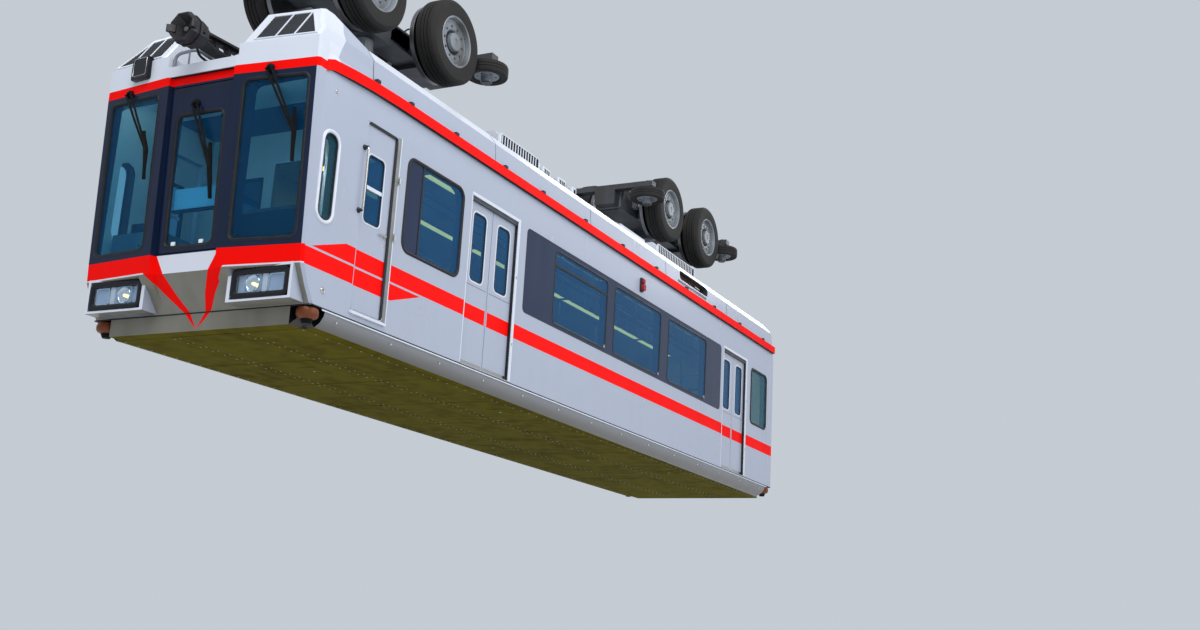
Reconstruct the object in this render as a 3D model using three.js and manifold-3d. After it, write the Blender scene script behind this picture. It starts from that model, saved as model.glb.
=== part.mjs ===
// Front car of a suspended monorail: the body hangs by two hangers from two rubber-tyred bogies
// that run inside a slotted box beam. Millimetres, +X forward, +Y the car's left, +Z up.
// The origin lies on the beam's running plane, midway between the bogies on the centre line.
import * as THREE from 'three'
import Module from 'manifold-3d'
import { mergeVertices } from 'three/addons/utils/BufferGeometryUtils.js'

const wasm = await Module()
wasm.setup()

// Driving dimensions. Every height is counted up from the seam, where the side walls stand on
// the floor, and every place along the car forward from the nose or from the rear end.
const seam = -3400
const nose = 6150
const rearEnd = -6370
const halfWidth = 1325
const gap = 0.3
const runningGap = 0.5
const pinSides = 12

const belly = { depth: 180, front: nose - 200, cornerSteps: 4 }
const wall = {
  inner: halfWidth - 110,
  crease: 2150,
  gutterBottom: 2285,
  gutterTop: 2395,
  gutterOut: 1352,
  top: 2410,
  front: nose - 60,
}
const roofSize = { ceiling: 2300, deck: 2500, edge: 2750, front: nose - 800 }
const fascia = { foot: 1302, shoulder: 1285, shoulderAt: 2630, edge: 1200, edgeIn: 1150, footIn: 1165 }
const fasciaEnd = { radius: roofSize.edge - roofSize.deck, steps: 4 }
const pipeSlot = { ahead: nose - 8480, behind: nose - 9570, low: 2512, high: 2655, radius: 60, depth: 210 }

const doorway = { height: 1881, pocket: 520, slotIn: 1247, slotOut: 1293, slotTop: 1935 }
const doorways = [
  { name: 'front', centre: nose - 3222, half: 500 },
  { name: 'rear', centre: nose - 10734, half: 486 },
]
const leaf = { in: 1253, out: 1288, top: 1925, bottom: 12, hidden: 20, meeting: 3, hanger: 30 }
const leafWindow = { from: 124, to: 395, low: 955, high: 1725, radius: 60 }
const band = { ahead: nose - 3947, behind: nose - 10119, low: 873, high: 1875, radius: 60, deep: 12 }
const bandWindow = { low: 907, high: 1824, radius: 80 }
const bandWindows = [
  { ahead: nose - 4655, behind: nose - 6112 },
  { ahead: nose - 6317, behind: nose - 7817 },
  { ahead: nose - 8078, behind: nose - 9509 },
]
const pocketWindow = { ahead: nose - 1477, behind: nose - 2556, low: 873, high: 1875, radius: 120 }
const rearWindow = { ahead: nose - 11460, behind: nose - 12211, low: 907, high: 1824, radius: 90 }
const quarterWindow = { ahead: nose - 140, behind: nose - 350, low: 800, high: 1645, radius: 95 }
const pane = { in: 1303, out: 1315 }
const crewDoor = { ahead: nose - 773, behind: nose - 1280, low: 96, high: 1981, in: 1270, out: 1310 }
const crewWindow = { ahead: 72, behind: 170, low: 985, high: 1665, radius: 50 }
const doorSwing = { hinge: 9.5, edge: 10 }

// Plan of the front mask by height: x of the outer corner, of the inner corner, of the recessed
// centre panel and of the back face, all counted forward from the nose.
const innerCorner = 403
const centrePanel = 390
const cornerChamfer = 25
const maskSections = [
  { h: gap, outer: -200, inner: -200, centre: -200, back: -320 },
  { h: 143, outer: -110, inner: -85, centre: -80, back: -200 },
  { h: 330, outer: -16, inner: 84, centre: 34, back: -60 },
  { h: 510, outer: -6, inner: 96, centre: 40, back: -60 },
  { h: 2516, outer: 66, inner: 168, centre: 130, back: -60 },
]
const crownNotch = { maskHalf: 440, maskFloor: 2400, half: 480, floor: 2440 }
const windscreen = { inner: 515, outer: 1235, low: 572, high: 2150, radius: 70, set: 14, thick: 12 }
const frontDoor = { half: 370.5, opening: 380, low: 530, high: 2175, thick: 45, hinge: 9 }
const frontDoorWindow = { half: 300, low: 572, high: 1905, radius: 80 }
const lampHood = { inner: 505, outer: 1245, low: 8, high: 342, front: nose + 5 }
const lampUnit = { inner: 545, outer: 1215, low: 30, high: 318, front: nose + 12, back: nose - 45 }
const lampRecess = { inset: 50, deep: 18, radius: 30 }

// The crown is the raised roof front. Its louvred face starts just behind the mask's top edge and
// leans back by the given share of its height, and its louvres narrow upwards in the same way.
const crown = { inset: 4, lean: 0.68, top: 2940, ridgeBack: nose - 350, topHalf: 1105, back: nose - 800 }
const louvre = { inner: 580, outer: 1225, taper: 0.66, count: 8, first: 2568, pitch: 40, slot: 24, deep: 40 }

const endDoor = { half: 343.5, opening: 350, low: 12, high: 1950, in: rearEnd + 55, out: rearEnd + 15 }
const bulkhead = { front: nose - 1400, back: nose - 1440, doorway: 330, doorTop: 1950 }
const cornerRoller = {
  at: 1225, radius: 105, low: -118, high: -24, top: -12, cap: -124, pin: 18, pocket: 130,
}
const cornerRollers = [
  { name: 'front', x: nose - 285 },
  { name: 'rear', x: rearEnd + 130 },
]

// Running gear. Inside the beam, heights are counted up from the running plane.
const bogieAt = 3900
const bogies = [
  { name: 'front', x: bogieAt },
  { name: 'rear', x: -bogieAt },
]
const axleAt = 750
const axle = { radius: 60, housing: 95, housingEnd: 385, collar: 88 }
const tyre = { radius: 500, inner: 480, outer: 760, sides: 16 }
const safetyDisc = { radius: 455, inner: 395, outer: 450 }
const kingPin = { radius: 75, shoulder: 110, low: 300, high: 700, sides: 16 }
const guideWheel = { x: 1540, y: 690, radius: 260, low: 385, high: 545, hub: 70, pin: 35, flange: 62 }
const guideBeam = { low: 600, high: 680, halfLength: 70, reach: 790 }
const guideFlange = { low: 312, high: 330 }
const sill = { half: 170, low: 380, high: 620, reach: 1610 }
const motor = { from: 880, to: 1430, half: 235, low: 330, high: 700 }
const hanger = {
  crossheadLow: -830,
  crossheadHigh: -750,
  springTop: -500,
  yokeTop: -410,
  springAt: 330,
  springRadius: 165,
  legIn: 545,
  legOut: 615,
  half: 200,
  footHalf: 300,
  hole: 150,
}

const finish = (color, roughness, metalness) =>
  new THREE.MeshStandardMaterial({ color, roughness, metalness })
const materials = {
  body: finish(0xc9ced6, 0.35, 0.1),
  belly: finish(0x8f9082, 0.55, 0.1),
  white: finish(0xe6e9ec, 0.35, 0.05),
  navy: finish(0x1f2338, 0.25, 0.1),
  glass: finish(0x1d5a6c, 0.05, 0.0),
  black: finish(0x17181a, 0.5, 0.1),
  steel: finish(0x4a4d50, 0.45, 0.8),
  gear: finish(0x2f3236, 0.5, 0.6),
  tyre: finish(0x1b1b1c, 0.85, 0.0),
  amber: finish(0x9a4a1c, 0.4, 0.0),
  interior: finish(0xd8d6cc, 0.6, 0.0),
  seat: finish(0x8a2f35, 0.9, 0.0),
}

// Six times the volume that a triangle list encloses, negative where its faces point inwards.
function enclosed(positions, index) {
  const at = (i) => new THREE.Vector3().fromArray(positions, 3 * index[i])
  let sum = 0
  for (let i = 0; i < index.length; i += 3) sum += at(i).dot(at(i + 1).cross(at(i + 2)))
  return sum
}

// A closed three.js geometry as a solid: seams merged, flat triangles dropped, faces outwards.
function solid(geometry) {
  geometry.deleteAttribute('normal')
  geometry.deleteAttribute('uv')
  const merged = mergeVertices(geometry, 1e-3)
  const positions = merged.attributes.position.array
  const index = []
  for (let i = 0; i < merged.index.count; i += 3) {
    const [a, b, c] = merged.index.array.slice(i, i + 3)
    if (a !== b && b !== c && a !== c) index.push(a, b, c)
  }
  if (enclosed(positions, index) < 0) index.reverse()
  return new wasm.Manifold(new wasm.Mesh({
    numProp: 3,
    vertProperties: new Float32Array(positions),
    triVerts: new Uint32Array(index),
  }))
}

function geometryOf(body) {
  const mesh = body.getMesh()
  const geometry = new THREE.BufferGeometry()
  geometry.setAttribute('position', new THREE.BufferAttribute(new Float32Array(mesh.vertProperties), 3))
  geometry.setIndex(new THREE.BufferAttribute(new Uint32Array(mesh.triVerts), 1))
  return geometry
}

const union = (...bodies) => bodies.reduce((sum, body) => sum.add(body))
const cut = (body, ...tools) => tools.reduce((rest, tool) => rest.subtract(tool), body)

function box(x, y, z) {
  const span = [x, y, z].map(([a, b]) => Math.abs(b - a))
  const geometry = new THREE.BoxGeometry(...span)
  geometry.translate(...[x, y, z].map(([a, b]) => (a + b) / 2))
  return solid(geometry)
}

function extruded(points, depth) {
  const shape = new THREE.Shape(points.map(([a, b]) => new THREE.Vector2(a, b)))
  return new THREE.ExtrudeGeometry(shape, { depth, bevelEnabled: false, curveSegments: 1 })
}

// An outline of [y, z] points extruded along X.
function alongX(points, from, to) {
  const geometry = extruded(points, Math.abs(to - from))
  const start = Math.min(from, to)
  geometry.applyMatrix4(new THREE.Matrix4().set(0, 0, 1, start, 1, 0, 0, 0, 0, 1, 0, 0, 0, 0, 0, 1))
  return solid(geometry)
}

// An outline of [x, z] points extruded along Y.
function alongY(points, from, to) {
  const geometry = extruded(points, Math.abs(to - from))
  geometry.rotateX(Math.PI / 2)
  geometry.translate(0, Math.max(from, to), 0)
  return solid(geometry)
}

// A turned body about the axis through a point; its [radius, distance] profile starts and ends
// on that axis.
function turned(profile, sides, axis, at) {
  const geometry = new THREE.LatheGeometry(profile.map(([r, t]) => new THREE.Vector2(r, t)), sides)
  if (axis === 'x') geometry.rotateZ(-Math.PI / 2)
  if (axis === 'z') geometry.rotateX(Math.PI / 2)
  geometry.translate(...at)
  return solid(geometry)
}

const rod = (radius, from, to, sides, axis, at) =>
  turned([[0, from], [radius, from], [radius, to], [0, to]], sides, axis, at)

// The corner radius of a bore whose flats clear a pin of the given radius all the way round.
const boreAround = (radius, sides) => (radius + runningGap) / Math.cos(Math.PI / sides)

function roundedOutline(a0, a1, b0, b1, radius, steps = 2) {
  const corners = [
    { a: a1 - radius, b: b1 - radius, turn: 0 },
    { a: a0 + radius, b: b1 - radius, turn: 1 },
    { a: a0 + radius, b: b0 + radius, turn: 2 },
    { a: a1 - radius, b: b0 + radius, turn: 3 },
  ]
  return corners.flatMap(({ a, b, turn }) =>
    Array.from({ length: steps + 1 }, (_, i) => {
      const angle = (turn + i / steps) * Math.PI / 2
      return [a + radius * Math.cos(angle), b + radius * Math.sin(angle)]
    }))
}

// A window-shaped prism across a side wall, its outline smaller by the margin.
function windowPrism(opening, from, to, margin = 0) {
  return alongY(roundedOutline(
    opening.behind + margin, opening.ahead - margin,
    seam + opening.low + margin, seam + opening.high - margin, opening.radius - margin), from, to)
}

// A loft through plan sections of equal point counts, each a list of [x, y] at height z.
function loft(sections) {
  const count = sections[0].points.length
  const top = (sections.length - 1) * count
  const positions = sections.flatMap(({ z, points }) => points.flatMap(([x, y]) => [x, y, z]))
  const index = []
  for (let ring = 0; ring < top; ring += count) {
    for (let i = 0; i < count; i++) {
      const next = (i + 1) % count
      index.push(ring + i, ring + next, ring + next + count)
      index.push(ring + i, ring + next + count, ring + i + count)
    }
  }
  const cap = ({ points }) =>
    THREE.ShapeUtils.triangulateShape(points.map(([x, y]) => new THREE.Vector2(x, y)), [])
  for (const [a, b, c] of cap(sections[0])) index.push(a, c, b)
  for (const [a, b, c] of cap(sections.at(-1))) index.push(top + a, top + b, top + c)
  const geometry = new THREE.BufferGeometry()
  geometry.setAttribute('position', new THREE.Float32BufferAttribute(positions, 3))
  geometry.setIndex(index)
  return solid(geometry)
}

const car = new THREE.Group()
function place(name, body, material, parent = car, at = [0, 0, 0]) {
  const mesh = new THREE.Mesh(geometryOf(body), material)
  mesh.name = name
  mesh.position.set(...at)
  parent.add(mesh)
}

const sides = [
  { name: 'left', s: 1 },
  { name: 'right', s: -1 },
]

// Floor and belly in one slab with rounded lower corners. A pocket at each corner holds the
// fixed pin and dust cap of a roller.
function underframe() {
  const flat = halfWidth - belly.depth
  const corner = (s) => Array.from({ length: belly.cornerSteps + 1 }, (_, i) => {
    const angle = (i / belly.cornerSteps) * Math.PI / 2
    return [s * (flat + belly.depth * Math.cos(angle)), seam - belly.depth * Math.sin(angle)]
  })
  const { at, pocket, top, cap, pin } = cornerRoller
  const pinProfile = [
    [0, cap - 42], [40, cap - 42], [58, cap], [pin, cap], [pin, top + 2], [0, top + 2],
  ]
  let slab = alongX([...corner(1), ...corner(-1).reverse()], rearEnd, belly.front)
  for (const { x } of cornerRollers) {
    for (const { s } of sides) {
      const out = Math.sign(x)
      slab = cut(slab, box(
        [x - out * pocket, x + out * 2 * pocket], [s * (at - pocket), s * (at + 2 * pocket)],
        [seam - 2 * belly.depth, seam + top]))
      slab = union(slab, turned(pinProfile, pinSides, 'z', [x, s * at, seam]))
    }
  }
  return slab
}

// Side wall with its rain gutter, its windows, and a slot that the door leaves slide into.
function sideWall(s) {
  const outline = [
    [halfWidth, gap], [halfWidth, wall.crease], [halfWidth - 13, wall.gutterBottom],
    [wall.gutterOut, wall.gutterBottom], [wall.gutterOut, wall.gutterTop],
    [fascia.foot, wall.top], [wall.inner, wall.top], [wall.inner, gap],
  ]
  const across = [s * (wall.inner - 60), s * (halfWidth + 60)]
  let panel = alongX(outline.map(([y, h]) => [s * y, seam + h]), rearEnd, wall.front)
  for (const { centre, half } of doorways) {
    panel = cut(panel,
      box([centre - half, centre + half], across, [seam - 1, seam + doorway.height]),
      box([centre - half - doorway.pocket, centre + half + doorway.pocket],
        [s * doorway.slotIn, s * doorway.slotOut], [seam - 1, seam + doorway.slotTop]))
  }
  const windows = [
    pocketWindow, rearWindow, quarterWindow, ...bandWindows.map((at) => ({ ...bandWindow, ...at })),
  ]
  for (const opening of windows) panel = cut(panel, windowPrism(opening, ...across))
  const [foot, middle, top] = maskSections.map(({ h, back }) => [nose + back - gap, seam + h])
  const ahead = nose + 100
  return cut(panel,
    windowPrism(band, s * (halfWidth - band.deep), across[1]),
    box([crewDoor.behind, crewDoor.ahead], across, [seam + crewDoor.low, seam + crewDoor.high]),
    alongY([[foot[0], seam - 1], foot, middle, top, [ahead, top[1]], [ahead, seam - 1]], ...across))
}

// Roof tray: a deck with a tall fascia along each side, resting on the walls. The fascia's rear
// end is rounded down to the deck.
function roof() {
  const half = [
    [wall.inner - gap, roofSize.ceiling], [wall.inner - gap, wall.top + gap], [fascia.foot, wall.top + gap],
    [fascia.shoulder, fascia.shoulderAt], [fascia.edge, roofSize.edge], [fascia.edgeIn, roofSize.edge],
    [fascia.footIn, roofSize.deck],
  ].map(([y, h]) => [y, seam + h])
  const tray = alongX([...half, ...half.map(([y, z]) => [-y, z]).reverse()], rearEnd, roofSize.front)
  const { radius, steps } = fasciaEnd
  const end = Array.from({ length: steps + 1 }, (_, i) => {
    const angle = (i / steps) * Math.PI / 2
    return [rearEnd + radius * (1 - Math.cos(angle)), seam + roofSize.deck + radius * Math.sin(angle)]
  })
  const aboveEnd = alongY([
    ...end, [rearEnd + radius, seam + roofSize.edge + 50], [rearEnd - 50, seam + roofSize.edge + 50],
    [rearEnd - 50, seam + roofSize.deck],
  ], -halfWidth, halfWidth)
  const slots = sides.map(({ s }) =>
    windowPrism(pipeSlot, s * (fascia.foot - pipeSlot.depth), s * (fascia.foot + 20)))
  return cut(tray, aboveEnd, ...slots)
}

function rearWall() {
  const inside = wall.inner - gap
  return cut(
    box([rearEnd, rearEnd + 70], [-inside, inside], [seam + gap, seam + roofSize.ceiling - gap]),
    box([rearEnd - 10, rearEnd + 80], [-endDoor.opening, endDoor.opening],
      [seam - 1, seam + endDoor.high + 10]))
}

// A swing door's hinge barrel lies along its edge, tangent to the jamb but for a running gap.
function endDoorLeaf() {
  const height = [seam + endDoor.low, seam + endDoor.high]
  const outline = roundedOutline(-220, 220, seam + 1000, seam + 1700, 60)
  const hingeY = -(endDoor.opening - doorSwing.edge)
  return union(
    cut(box([endDoor.out, endDoor.in], [hingeY, endDoor.half], height),
      alongX(outline, endDoor.out - 10, endDoor.in + 10)),
    rod(doorSwing.hinge, ...height, pinSides, 'z', [endDoor.in, hingeY, 0]))
}

// Front edge of the mask in plan, from the car's right to its left, moved back by the inset.
function maskFront({ outer, inner, centre }, inset = 0) {
  const half = [
    [centre, centrePanel], [inner, innerCorner], [outer, halfWidth - cornerChamfer],
    [outer - cornerChamfer, halfWidth],
  ].map(([x, y]) => [nose + x - inset, y])
  return [...half.map(([x, y]) => [x, -y]).reverse(), ...half]
}

// A sheet that follows the mask's front at a set depth behind it.
function maskSheet(set, thick) {
  return loft(maskSections.slice(3).map((section) => ({
    z: seam + section.h,
    points: [...maskFront(section, set), ...maskFront(section, set + thick).reverse()],
  })))
}

// x of the recessed centre panel at a height, forward from the nose.
function centreAt(h) {
  const [a, b] = maskSections.slice(3)
  return a.centre + (b.centre - a.centre) * (h - a.h) / (b.h - a.h)
}

function screenPrism(s, margin = 0) {
  const { inner, outer, low, high, radius } = windscreen
  const outline = roundedOutline(
    inner + margin, outer - margin, seam + low + margin, seam + high - margin, radius - margin)
  return alongX(outline.map(([y, z]) => [s * y, z]), nose - 400, nose + 400)
}

function frontMask() {
  const shell = loft(maskSections.map((section) => ({
    z: seam + section.h,
    points: [...maskFront(section), [nose + section.back, halfWidth], [nose + section.back, -halfWidth]],
  })))
  const hood = [
    [lampHood.front, lampHood.high], [lampHood.front, lampHood.low], [nose - 190, lampHood.low],
    [nose - 115, maskSections[1].h], [nose - 20, lampHood.high],
  ].map(([x, h]) => [x, seam + h])
  const hoods = sides.map(({ s }) => alongY(hood, s * lampHood.inner, s * lampHood.outer))
  const lampPockets = sides.map(({ s }) => box(
    [lampUnit.back, nose + 100], [s * lampUnit.inner, s * lampUnit.outer],
    [seam + lampUnit.low, seam + lampUnit.high]))
  return cut(union(shell, ...hoods),
    ...lampPockets,
    ...sides.map(({ s }) => screenPrism(s)),
    box([nose - 400, nose + 400], [-frontDoor.opening, frontDoor.opening],
      [seam + frontDoor.low - 10, seam + frontDoor.high + 10]),
    box([nose - 400, nose + 400], [-crownNotch.maskHalf, crownNotch.maskHalf],
      [seam + crownNotch.maskFloor, seam + 3000]))
}

// The emergency door leans with the mask, and so does its hinge line on the car's right.
function frontDoorLeaf() {
  const { half, opening, low, high, thick, hinge } = frontDoor
  const hingeY = -(opening - hinge - runningGap)
  const edge = (h, back) => [nose + centreAt(h) - back, seam + h]
  const slab = alongY([edge(low, thick), edge(low, 0), edge(high, 0), edge(high, thick)], hingeY, half)
  const lean = Math.atan2(centreAt(high) - centreAt(low), high - low)
  const barrel = new THREE.CylinderGeometry(hinge, hinge, (high - low) / Math.cos(lean) - 20, pinSides)
  barrel.rotateX(Math.PI / 2)
  barrel.rotateY(lean)
  const middle = (high + low) / 2
  barrel.translate(nose + centreAt(middle) - hinge, hingeY, seam + middle)
  const window = roundedOutline(
    -frontDoorWindow.half, frontDoorWindow.half, seam + frontDoorWindow.low, seam + frontDoorWindow.high,
    frontDoorWindow.radius)
  return union(cut(slab, alongX(window, nose - 400, nose + 400)), solid(barrel))
}

function headlamp(s) {
  const { inner, outer, low, high, front, back } = lampUnit
  const { inset, deep, radius } = lampRecess
  const lens = roundedOutline(
    inner + inset, outer - inset, seam + low + inset, seam + high - inset, radius).map(([y, z]) => [s * y, z])
  return cut(
    box([back + gap, front], [s * (inner + gap), s * (outer - gap)], [seam + low + gap, seam + high - gap]),
    alongX(lens, front - deep, front + 10))
}

// x of the crown's leaning face at a distance from the centre line and a height.
function crownFace(y, h) {
  const top = maskSections.at(-1)
  const sweep = (top.inner - top.outer) / (halfWidth - cornerChamfer - innerCorner)
  return nose + top.inner - sweep * (y - innerCorner) - crown.inset - crown.lean * (h - top.h)
}

// Raised roof front: a louvred slope on each side of the notch that the coupler looks through.
function roofCrown() {
  const top = maskSections.at(-1)
  const section = (h, half, back) => {
    const front = [crownNotch.half - 60, half - 40].map((y) => [crownFace(y, h), y])
    front.push([crownFace(half, h) - 20, half])
    return {
      z: seam + h,
      points: [...front.map(([x, y]) => [x, -y]).reverse(), ...front, [back, half], [back, -half]],
    }
  }
  const upper = loft([
    section(top.h + gap, 1290, crown.back), section(fascia.shoulderAt, fascia.shoulder, crown.back),
    section(roofSize.edge, fascia.edge, crown.back), section(crown.top, crown.topHalf, crown.ridgeBack),
  ])
  const inside = wall.inner - gap
  const backFace = roofSize.front + gap
  const frontFace = wall.front - gap
  const lower = alongX([
    [-inside, roofSize.ceiling], [inside, roofSize.ceiling], [inside, wall.top + gap],
    [fascia.foot, wall.top + gap], [1290, top.h + 1], [-1290, top.h + 1],
    [-fascia.foot, wall.top + gap], [-inside, wall.top + gap],
  ].map(([y, h]) => [y, seam + h]), backFace, frontFace)
  const trim = box([crown.back - 10, backFace], [-halfWidth, halfWidth], [seam, 0])
  const { half: notchHalf, floor: notchFloor } = crownNotch
  const notch = box([nose - 900, nose + 400], [-notchHalf, notchHalf], [seam + notchFloor, 0])
  return cut(union(upper, lower), trim, notch, ...louvreSlots())
}

// Louvre slots follow the lean and the sweep of the crown's face.
function louvreSlots() {
  const { inner, outer, taper, count, first, pitch, slot, deep } = louvre
  return sides.flatMap(({ s }) => Array.from({ length: count }, (_, i) => {
    const h = first + i * pitch
    const end = outer - taper * i * pitch
    const points = [
      [crownFace(inner, h) + 60, inner], [crownFace(end, h) + 60, end],
      [crownFace(end, h) - deep, end], [crownFace(inner, h) - deep, inner],
    ].map(([x, y]) => [x, s * y])
    const geometry = extruded(points, slot)
    geometry.translate(0, 0, seam + h)
    return solid(geometry)
  }))
}

function coupler() {
  const floor = crownNotch.floor + gap
  const axisHeight = 2612
  const arm = [
    [-730, floor], [-430, floor], [-380, 2530], [320, 2555], [320, 2665], [-560, 2710], [-730, 2620],
  ].map(([x, h]) => [nose + x, seam + h])
  const head = [
    [0, 235], [112, 235], [132, 280], [132, 365], [158, 377], [158, 465], [120, 501], [58, 501], [34, 461],
    [0, 461],
  ]
  return union(alongY(arm, -75, 75), turned(head, pinSides, 'x', [nose, 0, seam + axisHeight]))
}

function drawbar() {
  const floor = roofSize.deck + gap
  const outline = [
    [0, floor], [330, floor], [330, 2610], [240, 2690], [-250, 2670], [-250, 2560], [0, 2560],
  ].map(([x, h]) => [rearEnd + x, seam + h])
  return alongY(outline, -70, 70)
}

function airConditioner(ahead, behind) {
  const floor = seam + roofSize.deck + gap
  const outline = [[1110, floor], [1110, seam + 2890], [1050, seam + 2950]]
  return alongX([...outline, ...outline.map(([y, z]) => [-y, z]).reverse()], behind, ahead)
}

// Equipment cases in a row behind the fascia on both sides, on one common mounting plate.
function roofCases() {
  const floor = seam + roofSize.deck + gap
  const plateTop = floor + 60
  const cases = [
    { ahead: nose - 4560, behind: nose - 4760, top: 2890 },
    { ahead: nose - 4960, behind: nose - 5170, top: 2890 },
    { ahead: nose - 5340, behind: nose - 5470, top: 2890 },
    { ahead: nose - 5620, behind: nose - 6540, top: 2740 },
    { ahead: nose - 6810, behind: nose - 7610, top: 2850 },
  ]
  return union(
    box([nose - 7640, nose - 4530], [-1120, 1120], [floor, plateTop]),
    ...cases.flatMap(({ ahead, behind, top }) => sides.map(({ s }) =>
      box([behind, ahead], [s * 560, s * 1110], [plateTop - 1, seam + top]))))
}

function cabBulkhead() {
  const inside = wall.inner - gap
  const { front, back, doorway: half, doorTop } = bulkhead
  const through = [back - 10, front + 10]
  return cut(
    box([back, front], [-inside, inside], [seam + gap, seam + roofSize.ceiling - gap]),
    box(through, [-half, half], [seam - 1, seam + doorTop]),
    ...sides.map(({ s }) => box(through, [s * 480, s * 1080], [seam + 980, seam + 1800])))
}

function driverDesk() {
  const outline = [
    [-560, gap], [-340, gap], [-75, 352], [-75, 880], [-190, 960], [-560, 800],
  ].map(([x, h]) => [nose + x, seam + h])
  return alongY(outline, 430, 1190)
}

function bench(s) {
  const inside = wall.inner - gap
  const outline = [
    [inside, gap], [860, gap], [850, 330], [770, 350], [770, 430], [1110, 440], [1150, 860], [inside, 860],
  ].map(([y, h]) => [s * y, seam + h])
  return alongX(outline, -3550, 1850)
}

function slidingLeaf(s, direction, half) {
  const along = (from, to) => [direction * from, direction * to]
  const { from, to, low, high, radius } = leafWindow
  const [x0, x1] = along(from, to).sort((a, b) => a - b)
  const hangerAt = half - 120
  return union(
    cut(
      box(along(leaf.meeting, half + leaf.hidden), [s * leaf.in, s * leaf.out],
        [seam + leaf.bottom, seam + leaf.top]),
      alongY(roundedOutline(x0, x1, seam + low, seam + high, radius),
        s * (leaf.in - 10), s * (leaf.out + 10))),
    box(along(hangerAt - leaf.hanger, hangerAt + leaf.hanger), [s * (leaf.in + 8), s * (leaf.out - 8)],
      [seam + leaf.top - 1, seam + doorway.slotTop - runningGap]))
}

function crewDoorLeaf(s) {
  const { ahead, behind, low, high, in: inner, out } = crewDoor
  const hingeX = ahead - doorSwing.edge
  const height = [seam + low + 8, seam + high - 8]
  const window = roundedOutline(
    behind + crewWindow.behind, ahead - crewWindow.ahead,
    seam + crewWindow.low, seam + crewWindow.high, crewWindow.radius)
  return union(
    cut(box([behind + doorSwing.edge, hingeX], [s * inner, s * out], height),
      alongY(window, s * (inner - 10), s * (out + 10))),
    rod(doorSwing.hinge, ...height, pinSides, 'z', [hingeX, s * inner, 0]))
}

// Hanger: the body's yoke rests on two air springs, these on a crosshead, and the crosshead
// hangs by its column from the king pin's head on top of the bogie.
function hangerFrame() {
  const h = hanger
  const foot = seam + roofSize.deck + gap
  const yoke = cut(
    box([-h.half, h.half], [-h.legOut, h.legOut], [h.springTop - 1, h.yokeTop]),
    box([-h.hole, h.hole], [-h.hole, h.hole], [h.springTop - 10, h.yokeTop + 10]))
  const legs = sides.flatMap(({ s }) => [
    box([-h.half, h.half], [s * h.legIn, s * h.legOut], [foot, h.yokeTop]),
    box([-h.footHalf, h.footHalf], [s * (h.legIn - 60), s * (h.legOut + 100)], [foot, foot + 30]),
  ])
  const springs = sides.map(({ s }) => turned([
    [0, h.crossheadHigh - 1], [h.springRadius - 35, h.crossheadHigh - 1],
    [h.springRadius, h.crossheadHigh + 60],
    [h.springRadius - 25, (h.crossheadHigh + h.springTop) / 2], [h.springRadius, h.springTop - 60],
    [h.springRadius - 35, h.springTop], [0, h.springTop],
  ], pinSides, 'z', [0, s * h.springAt, 0]))
  const crosshead = box([-110, 110], [-500, 500], [h.crossheadLow, h.crossheadHigh])
  const head = kingPin.high + runningGap
  const column = turned([
    [0, h.crossheadLow], [kingPin.shoulder, h.crossheadLow], [kingPin.shoulder, kingPin.low - 5],
    [kingPin.radius, kingPin.low - 5], [kingPin.radius, head], [150, head], [150, head + 45], [0, head + 45],
  ], kingPin.sides, 'z', [0, 0, 0])
  return union(yoke, ...legs, crosshead, ...springs, column)
}

// Bogie frame: centre sill with the king pin's bearing, axle housings, motors at both ends, and
// cross beams whose pins carry the guide wheels.
function bogieFrame() {
  const ends = [-1, 1]
  const { x: guideX, y: guideY, pin, flange } = guideWheel
  const parts = [
    box([-sill.reach, sill.reach], [-sill.half, sill.half], [sill.low, sill.high]),
    box([-210, 210], [-210, 210], [kingPin.low, kingPin.high]),
  ]
  for (const end of ends) {
    parts.push(
      box([end * motor.from, end * motor.to], [-motor.half, motor.half], [motor.low, motor.high]),
      rod(axle.housing, -axle.housingEnd, axle.housingEnd, pinSides, 'y', [end * axleAt, 0, tyre.radius]),
      box([end * guideX - guideBeam.halfLength, end * guideX + guideBeam.halfLength],
        [-guideBeam.reach, guideBeam.reach], [guideBeam.low, guideBeam.high]))
    for (const { s } of sides) {
      parts.push(turned([
        [0, guideFlange.low], [flange, guideFlange.low], [flange, guideFlange.high], [pin, guideFlange.high],
        [pin, guideBeam.low + 2], [0, guideBeam.low + 2],
      ], pinSides, 'z', [end * guideX, s * guideY, 0]))
    }
  }
  const bores = ends.map((end) => rod(
    boreAround(axle.radius, tyre.sides), -500, 500, tyre.sides, 'y', [end * axleAt, 0, tyre.radius]))
  const kingBore = rod(
    boreAround(kingPin.radius, kingPin.sides), kingPin.low - 50, kingPin.high + 50, kingPin.sides, 'z',
    [0, 0, 0])
  return cut(union(...parts), ...bores, kingBore)
}

// Axle, tyres, wheel discs and steel safety discs turn as one.
function wheelset() {
  const { radius, inner, outer, sides: count } = tyre
  const collarAt = axle.housingEnd + runningGap
  const half = [
    [axle.radius, collarAt], [axle.collar, collarAt], [axle.collar, safetyDisc.inner],
    [safetyDisc.radius, safetyDisc.inner], [safetyDisc.radius, safetyDisc.outer],
    [300, inner - 10], [450, inner], [radius, inner + 45], [radius, outer - 45], [450, outer],
    [285, outer - 8], [265, outer - 80], [110, outer - 80], [110, outer - 20],
  ]
  const profile = [
    [0, -(outer - 20)], ...half.map(([r, t]) => [r, -t]).reverse(), ...half, [0, outer - 20],
  ]
  return turned(profile, count, 'y', [0, 0, 0])
}

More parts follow.
